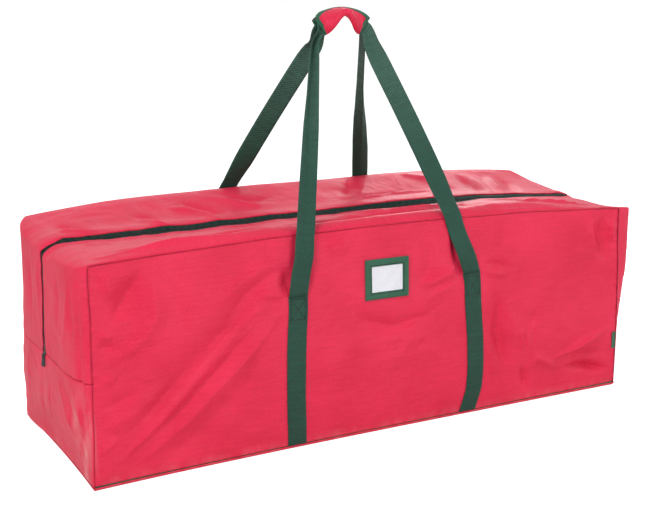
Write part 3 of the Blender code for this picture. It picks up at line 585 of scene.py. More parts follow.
class Tree:
    """The nodes of a material or world, with short ways to add and join them."""

    def __init__(self, owner):
        owner.use_nodes = True
        self.owner = owner
        self.nodes, self.links = owner.node_tree.nodes, owner.node_tree.links
        self.shader = self.nodes.get("Principled BSDF")

    def feed(self, socket, value):
        """Set a socket to a number or colour, or join another node's output to it."""
        if isinstance(value, (int, float)):
            socket.default_value = value
        elif isinstance(value, tuple):
            socket.default_value = (*value, 1.0)
        else:
            self.links.new(value, socket)

    def surface(self, **values):
        """Feed the shader's sockets, whose names are told with _ for a space."""
        for name, value in values.items():
            self.feed(self.shader.inputs[name.replace("_", " ")], value)

    def math(self, operation, *values, clamp=False):
        node = self.nodes.new("ShaderNodeMath")
        node.operation = operation
        node.use_clamp = clamp
        for socket, value in zip(node.inputs, values):
            self.feed(socket, value)
        return node.outputs[0]

    def plus(self, a, b, clamp=False):
        return self.math("ADD", a, b, clamp=clamp)

    def times(self, a, b, clamp=False):
        return self.math("MULTIPLY", a, b, clamp=clamp)

    def scaled(self, value, gain, base):
        return self.math("MULTIPLY_ADD", value, gain, base)

    def wave(self, value, pitch):
        return self.math("SINE", self.times(value, 2 * math.pi / pitch))

    def noise(self, vector, scale, detail=3.0, stretch=(1, 1, 1)):
        mapping = self.nodes.new("ShaderNodeMapping")
        mapping.inputs["Scale"].default_value = stretch
        self.links.new(vector, mapping.inputs["Vector"])
        node = self.nodes.new("ShaderNodeTexNoise")
        self.feed(node.inputs["Scale"], scale)
        self.feed(node.inputs["Detail"], detail)
        self.feed(node.inputs["Vector"], mapping.outputs[0])
        return node.outputs["Fac"]

    def ramp(self, value, *stops):
        node = self.nodes.new("ShaderNodeValToRGB")
        for element, (place, colour) in zip(node.color_ramp.elements, stops):
            element.position = place
            element.color = (*colour, 1.0)
        self.links.new(value, node.inputs[0])
        return node.outputs[0]

    def mix(self, share, a, b):
        node = self.nodes.new("ShaderNodeMix")
        node.data_type = "RGBA"
        for socket, value in zip((node.inputs[0], node.inputs[6], node.inputs[7]), (share, a, b)):
            self.feed(socket, value)
        return node.outputs[2]

    def bump(self, height, distance):
        node = self.nodes.new("ShaderNodeBump")
        node.inputs["Strength"].default_value = 1.0
        self.feed(node.inputs["Distance"], distance)
        self.feed(node.inputs["Height"], height)
        self.feed(self.shader.inputs["Normal"], node.outputs[0])

    def lay(self):
        """The flat cloth's own place, then its parts: across, along and how worn it is, which also carries
        painted light: painted shade in the cloth's seams as negative values, and painted sheen up the
        handles.
        """
        attribute = self.nodes.new("ShaderNodeAttribute")
        attribute.attribute_name = "lay"
        split = self.nodes.new("ShaderNodeSeparateXYZ")
        self.links.new(attribute.outputs["Vector"], split.inputs[0])
        return attribute.outputs["Vector"], *split.outputs[:3]

    def place(self):
        return self.nodes.new("ShaderNodeTexCoord").outputs["Object"]


# Noise that varies alike along the cloth's own two directions
EVEN = (1, 1, 0)


def cloth_look(tree, light, dark, worn, pitch, roughness, relief_depth, sheen):
    """Plain woven cloth: over and under threads, uneven dye, a dusty bloom where worn, and painted shade
    in its seam grooves.
    """
    place, across, along, wear_and_painted_light = tree.lay()
    weft = tree.wave(along, pitch)
    weave = tree.plus(tree.times(tree.wave(across, pitch), weft), tree.times(weft, 0.6))
    cloudy = tree.noise(place, 9.0, 4.0, EVEN)
    slubs = tree.noise(place, 60.0, 3.0, (0.35, 3.0, 0))
    grain = tree.times(tree.plus(tree.noise(place, 330.0, 2.0, EVEN), -0.5), 0.6)
    dye = tree.scaled(cloudy, 0.65, tree.times(slubs, 0.35))
    colour = tree.ramp(tree.scaled(weave, 0.06, tree.plus(dye, grain)), (0.22, dark), (0.72, light))
    scuffs = tree.plus(tree.noise(place, 38.0, 6.0, (1.0, 0.35, 0)), -0.38)
    scuffs = tree.times(tree.times(scuffs, 2.6, True), wear_and_painted_light, True)
    colour = tree.mix(scuffs, colour, worn)
    # Painted shade in the seam grooves: where the worn part is negative, the colour mixes to a darker red.
    painted_seam_shade = tree.scaled(tree.noise(place, 22.0, 3.0, EVEN), -1.5, -0.12)
    colour = tree.mix(tree.times(wear_and_painted_light, painted_seam_shade, True), colour, tuple(v * 0.34 for v in dark))
    tree.surface(
        Base_Color=colour, Roughness=tree.scaled(slubs, 0.16, roughness - 0.08),
        Sheen_Weight=sheen, Sheen_Roughness=0.45, Specular_IOR_Level=0.17,
    )
    threads = tree.scaled(weave, 0.12, tree.plus(slubs, grain))
    creases = tree.math("ABSOLUTE", tree.plus(tree.noise(place, 17.0, 4.0, EVEN), -0.5))
    tree.bump(tree.plus(threads, tree.times(creases, 9.0)), relief_depth)


def webbing_look(tree, light, dark, pitch, width, gloss=0.3):
    """Heavy webbing: slanted ribs that meet down the middle, selvedges and pressed wrinkles, and a lighter
    rub that is partly dust and partly painted sheen.
    """
    place, across, along, wear_and_painted_light = tree.lay()
    ribs = tree.wave(tree.plus(along, tree.times(across, 0.62)), pitch)
    weave = tree.scaled(tree.wave(across, width / 16), 0.5, ribs)
    pressed = tree.noise(place, 26.0, 4.0, (0.7, 5.5, 0))
    cloudy = tree.noise(place, 14.0, 3.0, EVEN)
    wide = tree.wave(tree.plus(along, tree.times(across, 0.55)), pitch * 1.9)
    fuzz = tree.noise(place, 150.0, 2.0, (3.0, 0.35, 0))
    weave = tree.plus(weave, tree.scaled(wide, 1.3, fuzz))
    tone = tree.scaled(weave, 0.18, tree.plus(tree.times(pressed, 0.6), tree.times(cloudy, 0.4)))
    edge = tree.math("DIVIDE", tree.math("ABSOLUTE", across), width / 2)
    tone = tree.plus(tone, tree.times(tree.math("POWER", edge, 14.0), 0.35, True))
    colour = tree.ramp(tone, (0.22, dark), (0.84, light))
    # Lighter, dustier green where the handles are rubbed: partly dust, partly painted sheen.
    rub_and_painted_sheen = tree.times(tree.plus(tone, -0.1), wear_and_painted_light, True)
    colour = tree.mix(rub_and_painted_sheen, colour, tuple(v * 1.5 + 0.08 for v in light))
    tree.surface(
        Base_Color=colour, Roughness=tree.scaled(pressed, 0.2, 0.48),
        Sheen_Weight=0.05, Sheen_Roughness=0.4, Specular_IOR_Level=gloss,
    )
    tree.bump(tree.scaled(weave, 0.10, pressed), 0.0010)


def hard_look(tree, light, dark, roughness, metallic, grain=400.0):
    """Painted metal or plastic with fine wear in its colour and gloss."""
    fine = tree.noise(tree.place(), grain, 4.0)
    colour = tree.ramp(fine, (0.35, dark), (0.70, light))
    rough = tree.scaled(fine, 0.25, roughness - 0.12)
    tree.surface(Base_Color=colour, Roughness=rough, Metallic=metallic)
    tree.bump(fine, 0.00006)


def film_look(tree):
    """Clear film, rippled a little."""
    ripple = tree.noise(tree.place(), 45.0, 2.0)
    colour = tree.ramp(ripple, (0.3, (0.93, 0.94, 0.96)), (0.7, (0.97, 0.97, 0.98)))
    tree.surface(Base_Color=colour, Transmission_Weight=1.0, Roughness=0.06, IOR=1.05, Alpha=0.35)
    tree.bump(ripple, 0.0006)


def make_look(name, make, *values):
    tree = Tree(bpy.data.materials.new(name))
    make(tree, *values)
    return tree.owner


RED_LIGHT, RED_DARK = (0.80, 0.032, 0.090), (0.62, 0.015, 0.052)
RED_WORN = (0.80, 0.34, 0.34)
GREEN_LIGHT, GREEN_DARK = (0.0130, 0.079, 0.050), (0.0018, 0.021, 0.0130)
LOOKS = {name: make_look(name, *making) for name, *making in [
    ("red_cloth", cloth_look, RED_LIGHT, RED_DARK, RED_WORN, 0.0011, 0.46, 0.00026, 0.02),
    ("green_webbing", webbing_look, GREEN_LIGHT, GREEN_DARK, 0.0024, WEB_WIDTH),
    ("green_binding", webbing_look, (0.040, 0.152, 0.088), (0.010, 0.060, 0.034), 0.0016, 0.016),
    ("zip_tape", webbing_look, (0.005, 0.040, 0.030), (0.000, 0.002, 0.002), 0.0080, 0.014, 0.08),
    ("zip_coil", hard_look, (0.012, 0.026, 0.023), (0.003, 0.008, 0.007), 0.42, 0.0),
    ("zip_metal", hard_look, (0.060, 0.060, 0.062), (0.012, 0.012, 0.013), 0.34, 0.85, 900.0),
    ("pull_metal", hard_look, (0.110, 0.115, 0.112), (0.010, 0.012, 0.012), 0.36, 0.85, 260.0),
    ("green_thread", hard_look, (0.006, 0.024, 0.017), (0.002, 0.008, 0.006), 0.62, 0.0, 1500.0),
    ("label_card", hard_look, (0.71, 0.71, 0.745), (0.66, 0.66, 0.70), 0.6, 0.0, 60.0),
    ("label_film", film_look),
]}


# Cloth panels

def wear_of(points):
    """Dust and rubbing on the low left corner, some on the left end, and along the bag's foot."""
    x, y, z = points[..., 0], points[..., 1], points[..., 2]
    on_end = smooth((-x - HALF_LENGTH + 0.002) / 0.004)
    corner = bump((y + HALF_DEPTH - 0.016) / 0.050) * bump((z - 0.06) / 0.15)
    foot = 0.3 * bump(z / 0.030)
    return np.clip(on_end * (corner + 0.12 * bump((z - 0.1) / 0.2)) + foot, 0, 1)


def cloth_piece(name, points, seam, out, nodes, blend=None):
    obj = grid_object(name, points, own_lengths(points), out, CLOTH)
    # Dust and wear from wear_of, less in the seams, where negative values give the painted seam shade.
    set_wear_and_painted_light(obj, wear_of(points) * (1 - seam) - seam**3)
    return settle(finish_mesh(obj), "root", "red_cloth", nodes, blend)


END_GROOVE = GROOVE_DEPTH * 0.8


def long_panels():
    columns = close_to_edges(-HALF_LENGTH, HALF_LENGTH, 330)
    for side, name in SIDE_NAMES.items():
        shares = close_to_edges(0.0, HEIGHT, 116) / HEIGHT
        x = columns[None, :] * np.ones((len(shares), 1))
        z = LIP + shares[:, None] * (seam_height(x, side) - LIP)
        margin = np.minimum(HALF_LENGTH - np.abs(x), seam_height(x, side) - z)
        # Share of each point in a seam groove, along the edges and the bottom lip, for the painted shade
        # in the grooves.
        seam = np.maximum(groove_at(margin), 0.7 * groove_at((z - LIP) * 4))
        cloth_piece(f"{name}_cloth", long_face(x, z, side), seam, (0, side, 0), [f"{name}_panel"])


def end_panels():
    y = close_to_edges(-HALF_DEPTH, HALF_DEPTH, 84)[None, :]
    z = LIP + close_to_edges(0.0, MID_SEAM, 44)[:, None] / MID_SEAM * (MID_SEAM - LIP)
    margin = np.minimum(np.minimum(HALF_DEPTH - np.abs(y), MID_SEAM - z), z - LIP)
    seam = groove_at(margin)
    for end, name in END_NAMES.items():
        points = warp(end * (HALF_LENGTH + end_stand(y, z, end) - END_GROOVE * seam), y, z)
        cloth_piece(f"{name}_end_cloth", points, seam, (end, 0, 0), [f"{name}_end_panel"])


def bottom_panel():
    """The bottom, whose edges turn up into the seams all round."""
    fine = (0.001, 0.003, 0.008)
    x = close_to_edges(-HALF_LENGTH, HALF_LENGTH, 150, fine)[None, :]
    y = close_to_edges(-HALF_DEPTH, HALF_DEPTH, 60, fine)[:, None]
    margin = np.minimum(HALF_LENGTH - np.abs(x), HALF_DEPTH - np.abs(y))
    lift = (LIP - 0.0004) * np.clip(1 - margin / 0.0030, 0, 1) ** 2
    rest = np.clip(crumple(x, y, 0.10, 91) * 0.0008 + 0.0002, 0, 1) * smooth(margin / 0.05)
    cloth_piece("bottom_cloth", warp(x, y, lift + rest), 0 * lift, (0, 0, -1), ["bottom_panel"])


def zip_half_width(end, s):
    """Half the width of the zip that shows between its two folded cloth edges."""
    top = 0.0102 - 0.0015 * smooth((s - 2.0) / 0.05) + 0.0015 * smooth((s - 2.06) / 0.10)
    corner = 0.0064 * bump((s - 1.5) / 0.80)
    upright = 0.0036 * smooth((1.0 - s) / 0.2) - 0.0016 * smooth((0.35 - s) / 0.3)
    if end == RIGHT:
        top = top + 0.0040 * smooth((2.9 - s) / 0.5) * smooth((s - 1.6) / 0.4)
    return top - corner - upright + noise(s * 9 + end * 3, 0.5, 8) * 0.0007


# The cloth's edge beside the zip, folded under: reach from the zip's middle, and depth
EDGE_REACHES = [0.0012, 0.0001, 0.0, 0.0010, 0.0040]
EDGE_DEPTHS = [0.0026, 0.0016, 0.0002, -0.0004, 0.0]
LID_START = 0.545
LID_END = 0.400


def quarters():
    """Each quarter of the zipped strip: its end and side, their names, and the lid it bends with."""
    for end, end_name in END_NAMES.items():
        for side, side_name in SIDE_NAMES.items():
            lid = (f"{side_name}_lid", (end * LID_START, 0, 0), (end * LID_END, 0, 0))
            yield end, side, end_name, side_name, lid


def strip_steps(*counts):
    """Steps along the strip: so many up the end, round the corner and along the top."""
    legs = [np.linspace(i, i + 1, count)[:-1] for i, count in enumerate(counts)]
    return np.concatenate([*legs, [len(counts)]])


def gussets():
    """The zipped strip in four quarters: each climbs an end and runs on as half a lid."""
    s = np.concatenate([[0, 0.006, 0.015], strip_steps(44, 17, 120)[1:]])[:, None]
    rim = 0 * s
    for end, side, end_name, side_name, lid in quarters():
        inner = zip_half_width(end, s)
        share = close_to_edges(0.0, 0.2, 40)[None, :] / 0.2
        cloth = inner + EDGE_REACHES[-1]
        cloth = cloth + share * (HALF_DEPTH - cloth)
        seam = groove_at(HALF_DEPTH - cloth)
        y = np.concatenate([inner + np.array(EDGE_REACHES[:-1])[None, :], cloth], axis=1)
        depth = np.concatenate([rim + np.array(EDGE_DEPTHS[:-1])[None, :], END_GROOVE * seam], axis=1)
        foot = np.clip(1 - s / 0.012, 0, 1) ** 1.5
        points = ring(end, s, side * y, depth + END_GROOVE * foot)
        seam = np.concatenate([np.repeat(rim, len(EDGE_DEPTHS) - 1, axis=1), seam], axis=1)
        seam = np.clip(seam + foot, 0, 1)
        nodes = [f"{end_name}_{side_name}_gusset", f"top_{side_name}_flap"]
        cloth_piece(f"{end_name}_{side_name}_strip", points, seam, (end, 0, 1), nodes, lid)


# Across half a zip tape: distance from its middle, and depth under the cloth
TAPE_REACHES = [0.0006, 0.0030, 0.0036, 0.0080, 0.0135]
TAPE_DEPTHS = [0.0030, 0.0026, 0.0022, 0.0021, 0.0021]


def zip_quarters():
    """Zip tapes with their coils, in the same four quarters."""
    s = strip_steps(60, 20, 160)[:, None]
    for end, side, end_name, side_name, lid in quarters():
        y = side * np.array(TAPE_REACHES)[None, :]
        points = ring(end, s, y, np.array(TAPE_DEPTHS)[None, :])
        lengths = own_lengths(points)
        lengths[..., 0] = y
        tape = sheet(f"{end_name}_{side_name}_tape", points, (end, 0, 1), 0.0006, lengths)
        coil = coil_object(f"{end_name}_{side_name}_coil", end, side)
        for obj, part in ((tape, "tape"), (coil, "coil")):
            nodes = [f"{end_name}_zip_{part}_{side_name}", f"top_zip_{part}_{side_name}"]
            settle(obj, "root", f"zip_{part}", nodes, lid)


COIL_PITCH = 0.0021
COIL_WIRE = 0.00042
COIL_SIDES = 4
COIL_STEPS = 5


def coil_object(name, end, side):
    """A flattened wire coil along one edge of the zip."""
    guide = np.linspace(0.004, 3, 600)
    run = distances(ring(end, guide, side * 0.0016, 0.0020))
    turns = int(run[-1] / COIL_PITCH)
    phase = np.linspace(0, turns * 2 * math.pi, turns * COIL_STEPS + 1)
    s = np.interp(phase / (2 * math.pi) * COIL_PITCH, run, guide)
    y = side * (0.0018 + 0.0015 * np.cos(phase))
    wire = ring(end, s, y, 0.0021 - 0.0009 * np.sin(phase))
    ahead = unit(np.gradient(wire, axis=0))
    aside = unit(np.cross(ahead, [0.3, 0.9, 0.2]))
    above = np.cross(ahead, aside)
    angles = (np.arange(COIL_SIDES) * 2 * math.pi / COIL_SIDES)[None, :, None]
    spokes = np.cos(angles) * aside[:, None] + np.sin(angles) * above[:, None]
    rings = wire[:, None] + COIL_WIRE * spokes
    return tube(name, rings, np.zeros((len(wire), COIL_SIDES, 2)))


def mesh_edit(mesh, change):
    """Let change work on a mesh, then turn its faces outward."""
    bm = bmesh.new()
    bm.from_mesh(mesh)
    bm.verts.ensure_lookup_table()
    change(bm)
    bmesh.ops.recalc_face_normals(bm, faces=bm.faces)
    bm.to_mesh(mesh)
    bm.free()
    mesh.shade_smooth()


def tube(name, rings, lay):
    """A solid through a row of rings, closed at both ends."""
    rows, columns = rings.shape[:2]
    obj = grid_object(name, rings, lay, None, closed=True)

    def cap(bm):
        for first in (0, (rows - 1) * columns):
            bm.faces.new([bm.verts[first + i] for i in range(columns)])

    mesh_edit(obj.data, cap)
    return obj


# Webbing

# Places across a band, and round its section: over its top and back along its underside
ACROSS = np.linspace(-1, 1, 9)
AROUND = np.concatenate([ACROSS, ACROSS[::-1]])


def ribbon(name, middles, sides, widths, thickness=WEB_THICKNESS, cups=0.0, loose_rows=0):
    """A band of webbing along a line. sides points across it, and cups folds it lengthwise.
    It is square to the line, but less so over loose_rows at each end."""
    middles, sides = np.asarray(middles, float), np.asarray(sides, float)
    ahead = unit(np.gradient(middles, axis=0))
    rows = np.arange(len(middles))
    square = np.clip(np.minimum(rows, rows[::-1]) / loose_rows, 0, 1) if loose_rows else 1.0 + 0 * rows
    sides = unit(sides - ahead * ((sides * ahead).sum(1) * square)[:, None])
    normals = unit(np.cross(sides, ahead))
    cups = (cups + 0.0 * rows)[:, None]
    half = (np.asarray(widths) + 0.0 * rows)[:, None] / 2
    thin = thickness / 2 * (1 - 0.5 * np.abs(ACROSS) ** 8)
    lift = np.concatenate([thin, -thin[::-1]])[None, :]
    spread = half * AROUND * np.cos(cups)
    sink = half * np.abs(AROUND) * np.sin(cups)
    run = distances(middles)[:, None]
    ripple = noise(run / 0.030, AROUND[None, :] * 1.3 + 9, 21) * 0.0005
    points = middles[:, None] + sides[:, None] * spread[..., None]
    points = points + normals[:, None] * (lift - sink + ripple)[..., None]
    return tube(name, points, pairs(half * AROUND, run))


def sewn_strips():
    """Straps sewn to the long faces, up from the bottom seam to the box stitch."""
    z = np.linspace(LIP + 0.0005, STITCH_TOP + 0.002, 70)[:, None]
    top = (WEB_OFF + WEB_THICKNESS) * (1 - 0.35 * np.abs(ACROSS) ** 8)
    off = np.concatenate([top, WEB_OFF + 0 * ACROSS])[None, :]
    for side, side_name in SIDE_NAMES.items():
        for end, end_name in END_NAMES.items():
            middle = strap_middle(z, side, end)
            x = middle + AROUND * WEB_WIDTH / 2
            points = long_face(x, z + 0 * x, side, off)
            obj = tube(f"{side_name}_sewn_{end_name}", points, pairs(x - middle, z))
            settle(obj, "root", "green_webbing", [f"{side_name}_strap_{end_name}"])


STITCH_LENGTH = 0.0030
STITCH_GAP = 0.0012
STITCH_WIDTH = 0.0018


# Rings along one stitch: place along its half length, share of its width, share of its height
STITCH_RINGS = [(-1.0, 0.0, 0.0), (-0.7, 0.8, 0.8), (0.0, 1.0, 1.0), (0.7, 0.8, 0.8), (1.0, 0.0, 0.0)]


def stitches_of(route):
    """The middle and direction of each stitch along a route."""
    for a, b in zip(route, route[1:]):
        a, b = np.array(a, float), np.array(b, float)
        length = np.linalg.norm(b - a)
        count = max(int(round(length / (STITCH_LENGTH + STITCH_GAP))), 1)
        for i in range(count):
            yield a + (b - a) * (i + 0.5) / count, (b - a) / length


def stitch_mesh(name, routes, place):
    """Rows of single stitches: short plump threads along routes that place lays on the part."""
    verts, faces = [], []
    for middle, ahead in (stitch for route in routes for stitch in stitches_of(route)):
        aside = np.array([-ahead[1], ahead[0]])
        start = len(verts)
        for t, w, h in STITCH_RINGS:
            for turn in (math.pi * j / 3 for j in range(4)):
                along, out = STITCH_LENGTH / 2 * t, math.cos(turn) * STITCH_WIDTH / 2 * w
                spot = middle + ahead * along + aside * out
                verts.append((*spot, math.sin(turn) * STITCH_WIDTH * 0.6 * h - 0.0001))
        for k in range(start, len(verts) - 4, 4):
            faces += [(k + j, k + (j + 1) % 4, k + (j + 1) % 4 + 4, k + j + 4) for j in range(4)]
    flat = np.array(verts)
    mesh = bpy.data.meshes.new(name)
    mesh.from_pydata(place(*flat.T).tolist(), [], faces)
    write_lay(mesh, flat[:, :2])
    mesh_edit(mesh, lambda bm: bmesh.ops.remove_doubles(bm, verts=bm.verts, dist=0.00003))
    return placed(name, mesh)


def rectangle(wide, tall):
    """A closed route round a rectangle, from its half sizes."""
    return [(-wide, -tall), (wide, -tall), (wide, tall), (-wide, tall), (-wide, -tall)]


def box_stitches():
    """A cross in a box on each strap, sewn through webbing and cloth."""
    wide, tall = WEB_WIDTH / 2 - 0.0040, STITCH_BOX / 2
    routes = [rectangle(wide, tall), [(-wide, -tall), (wide, tall)], [(-wide, tall), (wide, -tall)]]
    height = STITCH_TOP - tall - 0.0035
    for side, side_name in SIDE_NAMES.items():
        for end, end_name in END_NAMES.items():
            def place(u, v, h):
                z = height + v
                x = strap_middle(z, side, end) + u
                return long_face(x, z, side, WEB_OFF + WEB_THICKNESS + h)
            obj = stitch_mesh(f"{side_name}_cross_{end_name}", routes, place)
            settle(obj, "root", "green_thread", [f"{side_name}_stitch_{end_name}"])


# Grip and handles, as the frame has them

GRIP_X = 0.0195
GRIP_Z = HEIGHT + 0.389
GRIP_HALF = 0.049
GRIP_SLOPE = 0.82
GRIP_ROUND = 0.015
GRIP_WEB_SHIFT = -0.0045
GRIP_LAY = 0.0012
GRIP_WEB_WIDTH = 0.030
GRIP_TAPER = 0.080
EXIT_STRAIGHT = 0.014
EXIT_BEND = 0.034
PAD_HALF = 0.0215
PAD_THICKNESS = 0.0025
# Where each leg crosses its top seam
RIDGE_X = {
    (FRONT, LEFT): -0.167, (FRONT, RIGHT): 0.1535, (BACK, LEFT): -0.137, (BACK, RIGHT): 0.179,
}
# How far in from the ends of the grip each leg hangs, and how far its face is turned, in x and z
LEG_INWARD = {
    (FRONT, LEFT): -0.007, (FRONT, RIGHT): 0.006, (BACK, LEFT): 0.013, (BACK, RIGHT): 0.002,
}
LEG_TURNS = {
    (FRONT, LEFT): (0.0, 0.0), (FRONT, RIGHT): (-0.50, 0.0),
    (BACK, LEFT): (-0.50, 0.60), (BACK, RIGHT): (0.0, 0.0),
}
# How far each leg is folded along its middle, at distances from the grip
LEG_STATIONS = [0.0, 0.015, 0.05, 0.10, 0.16, 0.22, 0.28, 0.34, 0.42, 0.50, 0.54]
LEG_FOLDS = {
    (FRONT, LEFT): [0.3, 1.10, 1.10, 0.95, 0.85, 0.62, 0.52, 0.42, 0.34, 0.10, 0.0],
    (FRONT, RIGHT): [0.2, 0.45, 0.25, 0.10, 0.05, 0.0, 0.0, 0.0, 0.0, 0.0, 0.0],
    (BACK, LEFT): [0.2, 0.30, 0.20, 0.10, 0.05, 0.0, 0.0, 0.0, 0.0, 0.0, 0.0],
    (BACK, RIGHT): [-0.3, -1.20, -1.27, -1.25, -1.16, -0.98, -0.60, -0.30, -0.15, 0.0, 0.0],
}
# How far a leg hangs off the face under the seam, how it sags on its way to the grip, how far it
# overshoots its bend there, and over what length it takes up its turn
LEG_LOOSE = {LEFT: 0.0090, RIGHT: 0.0048}
LEG_SAG = 0.004
CURVE_RISE = 0.55
TURN_REACH = 0.12
FACE_ROWS, FREE_ROWS, CURVE_ROWS = 14, 25, 12


def grip_frame(share):
    """Middle, forward, width and outer directions of the grip, an upturned V that twists."""
    share = np.asarray(share, float)
    x = share * GRIP_HALF
    reach = np.hypot(GRIP_ROUND, GRIP_SLOPE * x)
    zero = 0 * x
    middle = np.stack([GRIP_X + x, zero, GRIP_Z - (reach - GRIP_ROUND)], -1)
    ahead = unit(np.stack([1 + zero, zero, -(GRIP_SLOPE**2) * x / reach], -1))
    up = np.stack([-ahead[..., 2], zero, ahead[..., 0]], -1)
    turn = (math.pi / 2 * np.abs(share) ** np.where(share < 0, 2.0, 1.4))[..., None]
    back = np.array([0.0, 1.0, 0.0])
    outer = up * np.cos(turn) - back * np.sin(turn)
    width = back * np.cos(turn) + up * np.sin(turn)
    return middle, ahead, width, outer


def on_grip(share, along_width, out):
    share, along_width, out = np.broadcast_arrays(
        np.asarray(share, float), np.asarray(along_width, float), np.asarray(out, float)
    )
    middle, _, width, outer = grip_frame(share)
    return middle + width * along_width[..., None] + outer * out[..., None]


def web_out(side):
    return -side * (WEB_THICKNESS + GRIP_LAY) / 2


def leg_on_bag(side, end):
    """The leg's line from the box stitch up to the top seam."""
    edge_x = RIDGE_X[side, end]
    edge_z = float(seam_height(edge_x, side)) + 0.002
    z = np.linspace(STITCH_TOP - 0.001, edge_z, FACE_ROWS)
    share = (z - z[0]) / (z[-1] - z[0])
    start_x = strap_middle(STITCH_TOP, side, end)
    lean = share**0.9 if (side, end) == (FRONT, RIGHT) else share**2 * 1.10 / (share + 0.10)
    x = start_x + (edge_x - start_x) * lean
    off = WEB_OFF + WEB_THICKNESS / 2 + LEG_LOOSE[end] * np.sin(math.pi * share) ** 1.2 + 0.0010 * share
    line = long_face(x, np.minimum(z, seam_height(x, side) - 0.004), side, off)
    line[:, 2] = z
    return line


def leg_in_air(side, end, ridge):
    """The leg's line from the top seam to the grip: nearly straight, then a curve into it."""
    finish = on_grip(end, GRIP_WEB_SHIFT, web_out(side))
    knee = finish + grip_frame(end)[1] * end * EXIT_STRAIGHT
    bend = knee + unit(ridge - knee) * EXIT_BEND
    bend[0] -= end * LEG_INWARD[side, end]
    t = np.linspace(0, 1, FREE_ROWS + 1)[1:, None]
    sag = np.array([end * 0.35, side, -0.1]) * LEG_SAG
    straight = ridge + (bend - ridge) * t + sag * np.sin(math.pi * t)
    rise = bend + unit(bend - ridge) * EXIT_BEND * CURVE_RISE
    t = np.linspace(0, 1, CURVE_ROWS + 1)[1:, None]
    line = [bend, rise, knee, finish]
    while len(line) > 1:
        line = [a * (1 - t) + b * t for a, b in zip(line, line[1:])]
    return np.concatenate([straight, line[0]])


def leg(side, end):
    """Middles, side directions, widths and cups of a free leg, from the stitch to the grip."""
    on_bag = leg_on_bag(side, end)
    middles = np.concatenate([on_bag, leg_in_air(side, end, on_bag[-1])])
    left = distances(middles[::-1])[::-1]
    share = smooth(left / GRIP_TAPER)
    climb = unit(np.gradient(middles, axis=0))
    level = unit(np.cross([1.0, 0, 0], climb))
    normal = level * share[:, None] + np.array([0, -1.0, 0]) * (1 - share[:, None])
    turn_x, turn_z = LEG_TURNS[side, end]
    turned = share * smooth((left[FACE_ROWS - 1] - left) / TURN_REACH)
    normal += np.array([turn_x, 0, turn_z]) * turned[:, None]
    sides = unit(np.cross(normal - climb * (normal * climb).sum(1)[:, None], climb) * -end)
    sides[:FACE_ROWS] = [end, 0, 0]
    widths = GRIP_WEB_WIDTH + (WEB_WIDTH - GRIP_WEB_WIDTH) * share
    cups = np.interp(left, LEG_STATIONS, LEG_FOLDS[side, end])
    return middles, sides, widths, cups


# Rows at each end of a handle that stay level with the sewn strap, and where its rub and painted sheen
# begin
LOOSE_ROWS = 4
RUB_AND_SHEEN_ABOVE = 0.48


def handles():
    """Each handle as one band: a free leg, the stretch in the grip and the other leg."""
    for side, name in SIDE_NAMES.items():
        share = np.linspace(-1, 1, 41)[1:-1]
        grip = (
            on_grip(share, GRIP_WEB_SHIFT, web_out(side)), grip_frame(share)[2],
            np.full(len(share), GRIP_WEB_WIDTH), np.zeros(len(share)),
        )
        middles, sides, widths, cups = (
            np.concatenate([a, b, c[::-1]]) for a, b, c in zip(leg(side, LEFT), grip, leg(side, RIGHT))
        )
        obj = ribbon(f"{name}_handle", middles, sides, widths, cups=cups, loose_rows=LOOSE_ROWS)
        x, _, z = np.array([vertex.co for vertex in obj.data.vertices]).T
        # Upper legs made lighter, partly as dust and partly as painted sheen; the back handle's right leg
        # most, as painted light where it lies in shade.
        wear_and_painted_light = 0.55 if side == FRONT else 0.45 + 0.5 * smooth((x - GRIP_X) / 0.04)
        set_wear_and_painted_light(obj, smooth((z - RUB_AND_SHEEN_ABOVE) / 0.22) * wear_and_painted_light)
        bending = (f"{name}_handle", (0, 0, STITCH_TOP), (0, 0, STITCH_TOP + LEG_BLEND))
        settle(obj, "root", "green_webbing", [f"{name}_handle_web"], bending)


FLAP_FIXED, FLAP_FREE = (0.0, -0.0215, 0.789), (0.0, -0.0061, 0.7953)


def pad_half(share):
    return PAD_HALF - 0.0040 * np.asarray(share, float) ** 2


def pad_grid(low, high, out, dome):
    share = np.linspace(low, high, 60)[:, None]
    width = np.linspace(-1, 1, 22)[None, :]
    swell = (1 - width**4) * (1 - np.abs(share) ** 8)
    crease = noise(share * 5 + 2, width * 2 + 5, 41) * 0.0006 - 0.0012 * bump(share / 0.10)
    return on_grip(share, width * pad_half(share), out + math.copysign(1, out) * (dome + crease) * swell)


BINDING_WIDTH = 0.0068


def binding_grid(route, inward, outward, half):
    """A tape folded over an edge: from one face, round the edge and back on the other."""
    one_face = [(BINDING_WIDTH, 1.0), (BINDING_WIDTH * 0.55, 1.12), (0.0012, 1.05), (-0.0005, 0.6)]
    section = [*one_face, (-0.0009, 0.0), *((reach, -over) for reach, over in one_face[::-1])]
    reach, over = np.array(section).T[:, None, :, None]
    return route[:, None] + inward[:, None] * reach + outward[:, None] * over * half


WRAP_INNER = WEB_THICKNESS + GRIP_LAY * 1.5
WRAP_OUTER = WRAP_INNER + PAD_THICKNESS


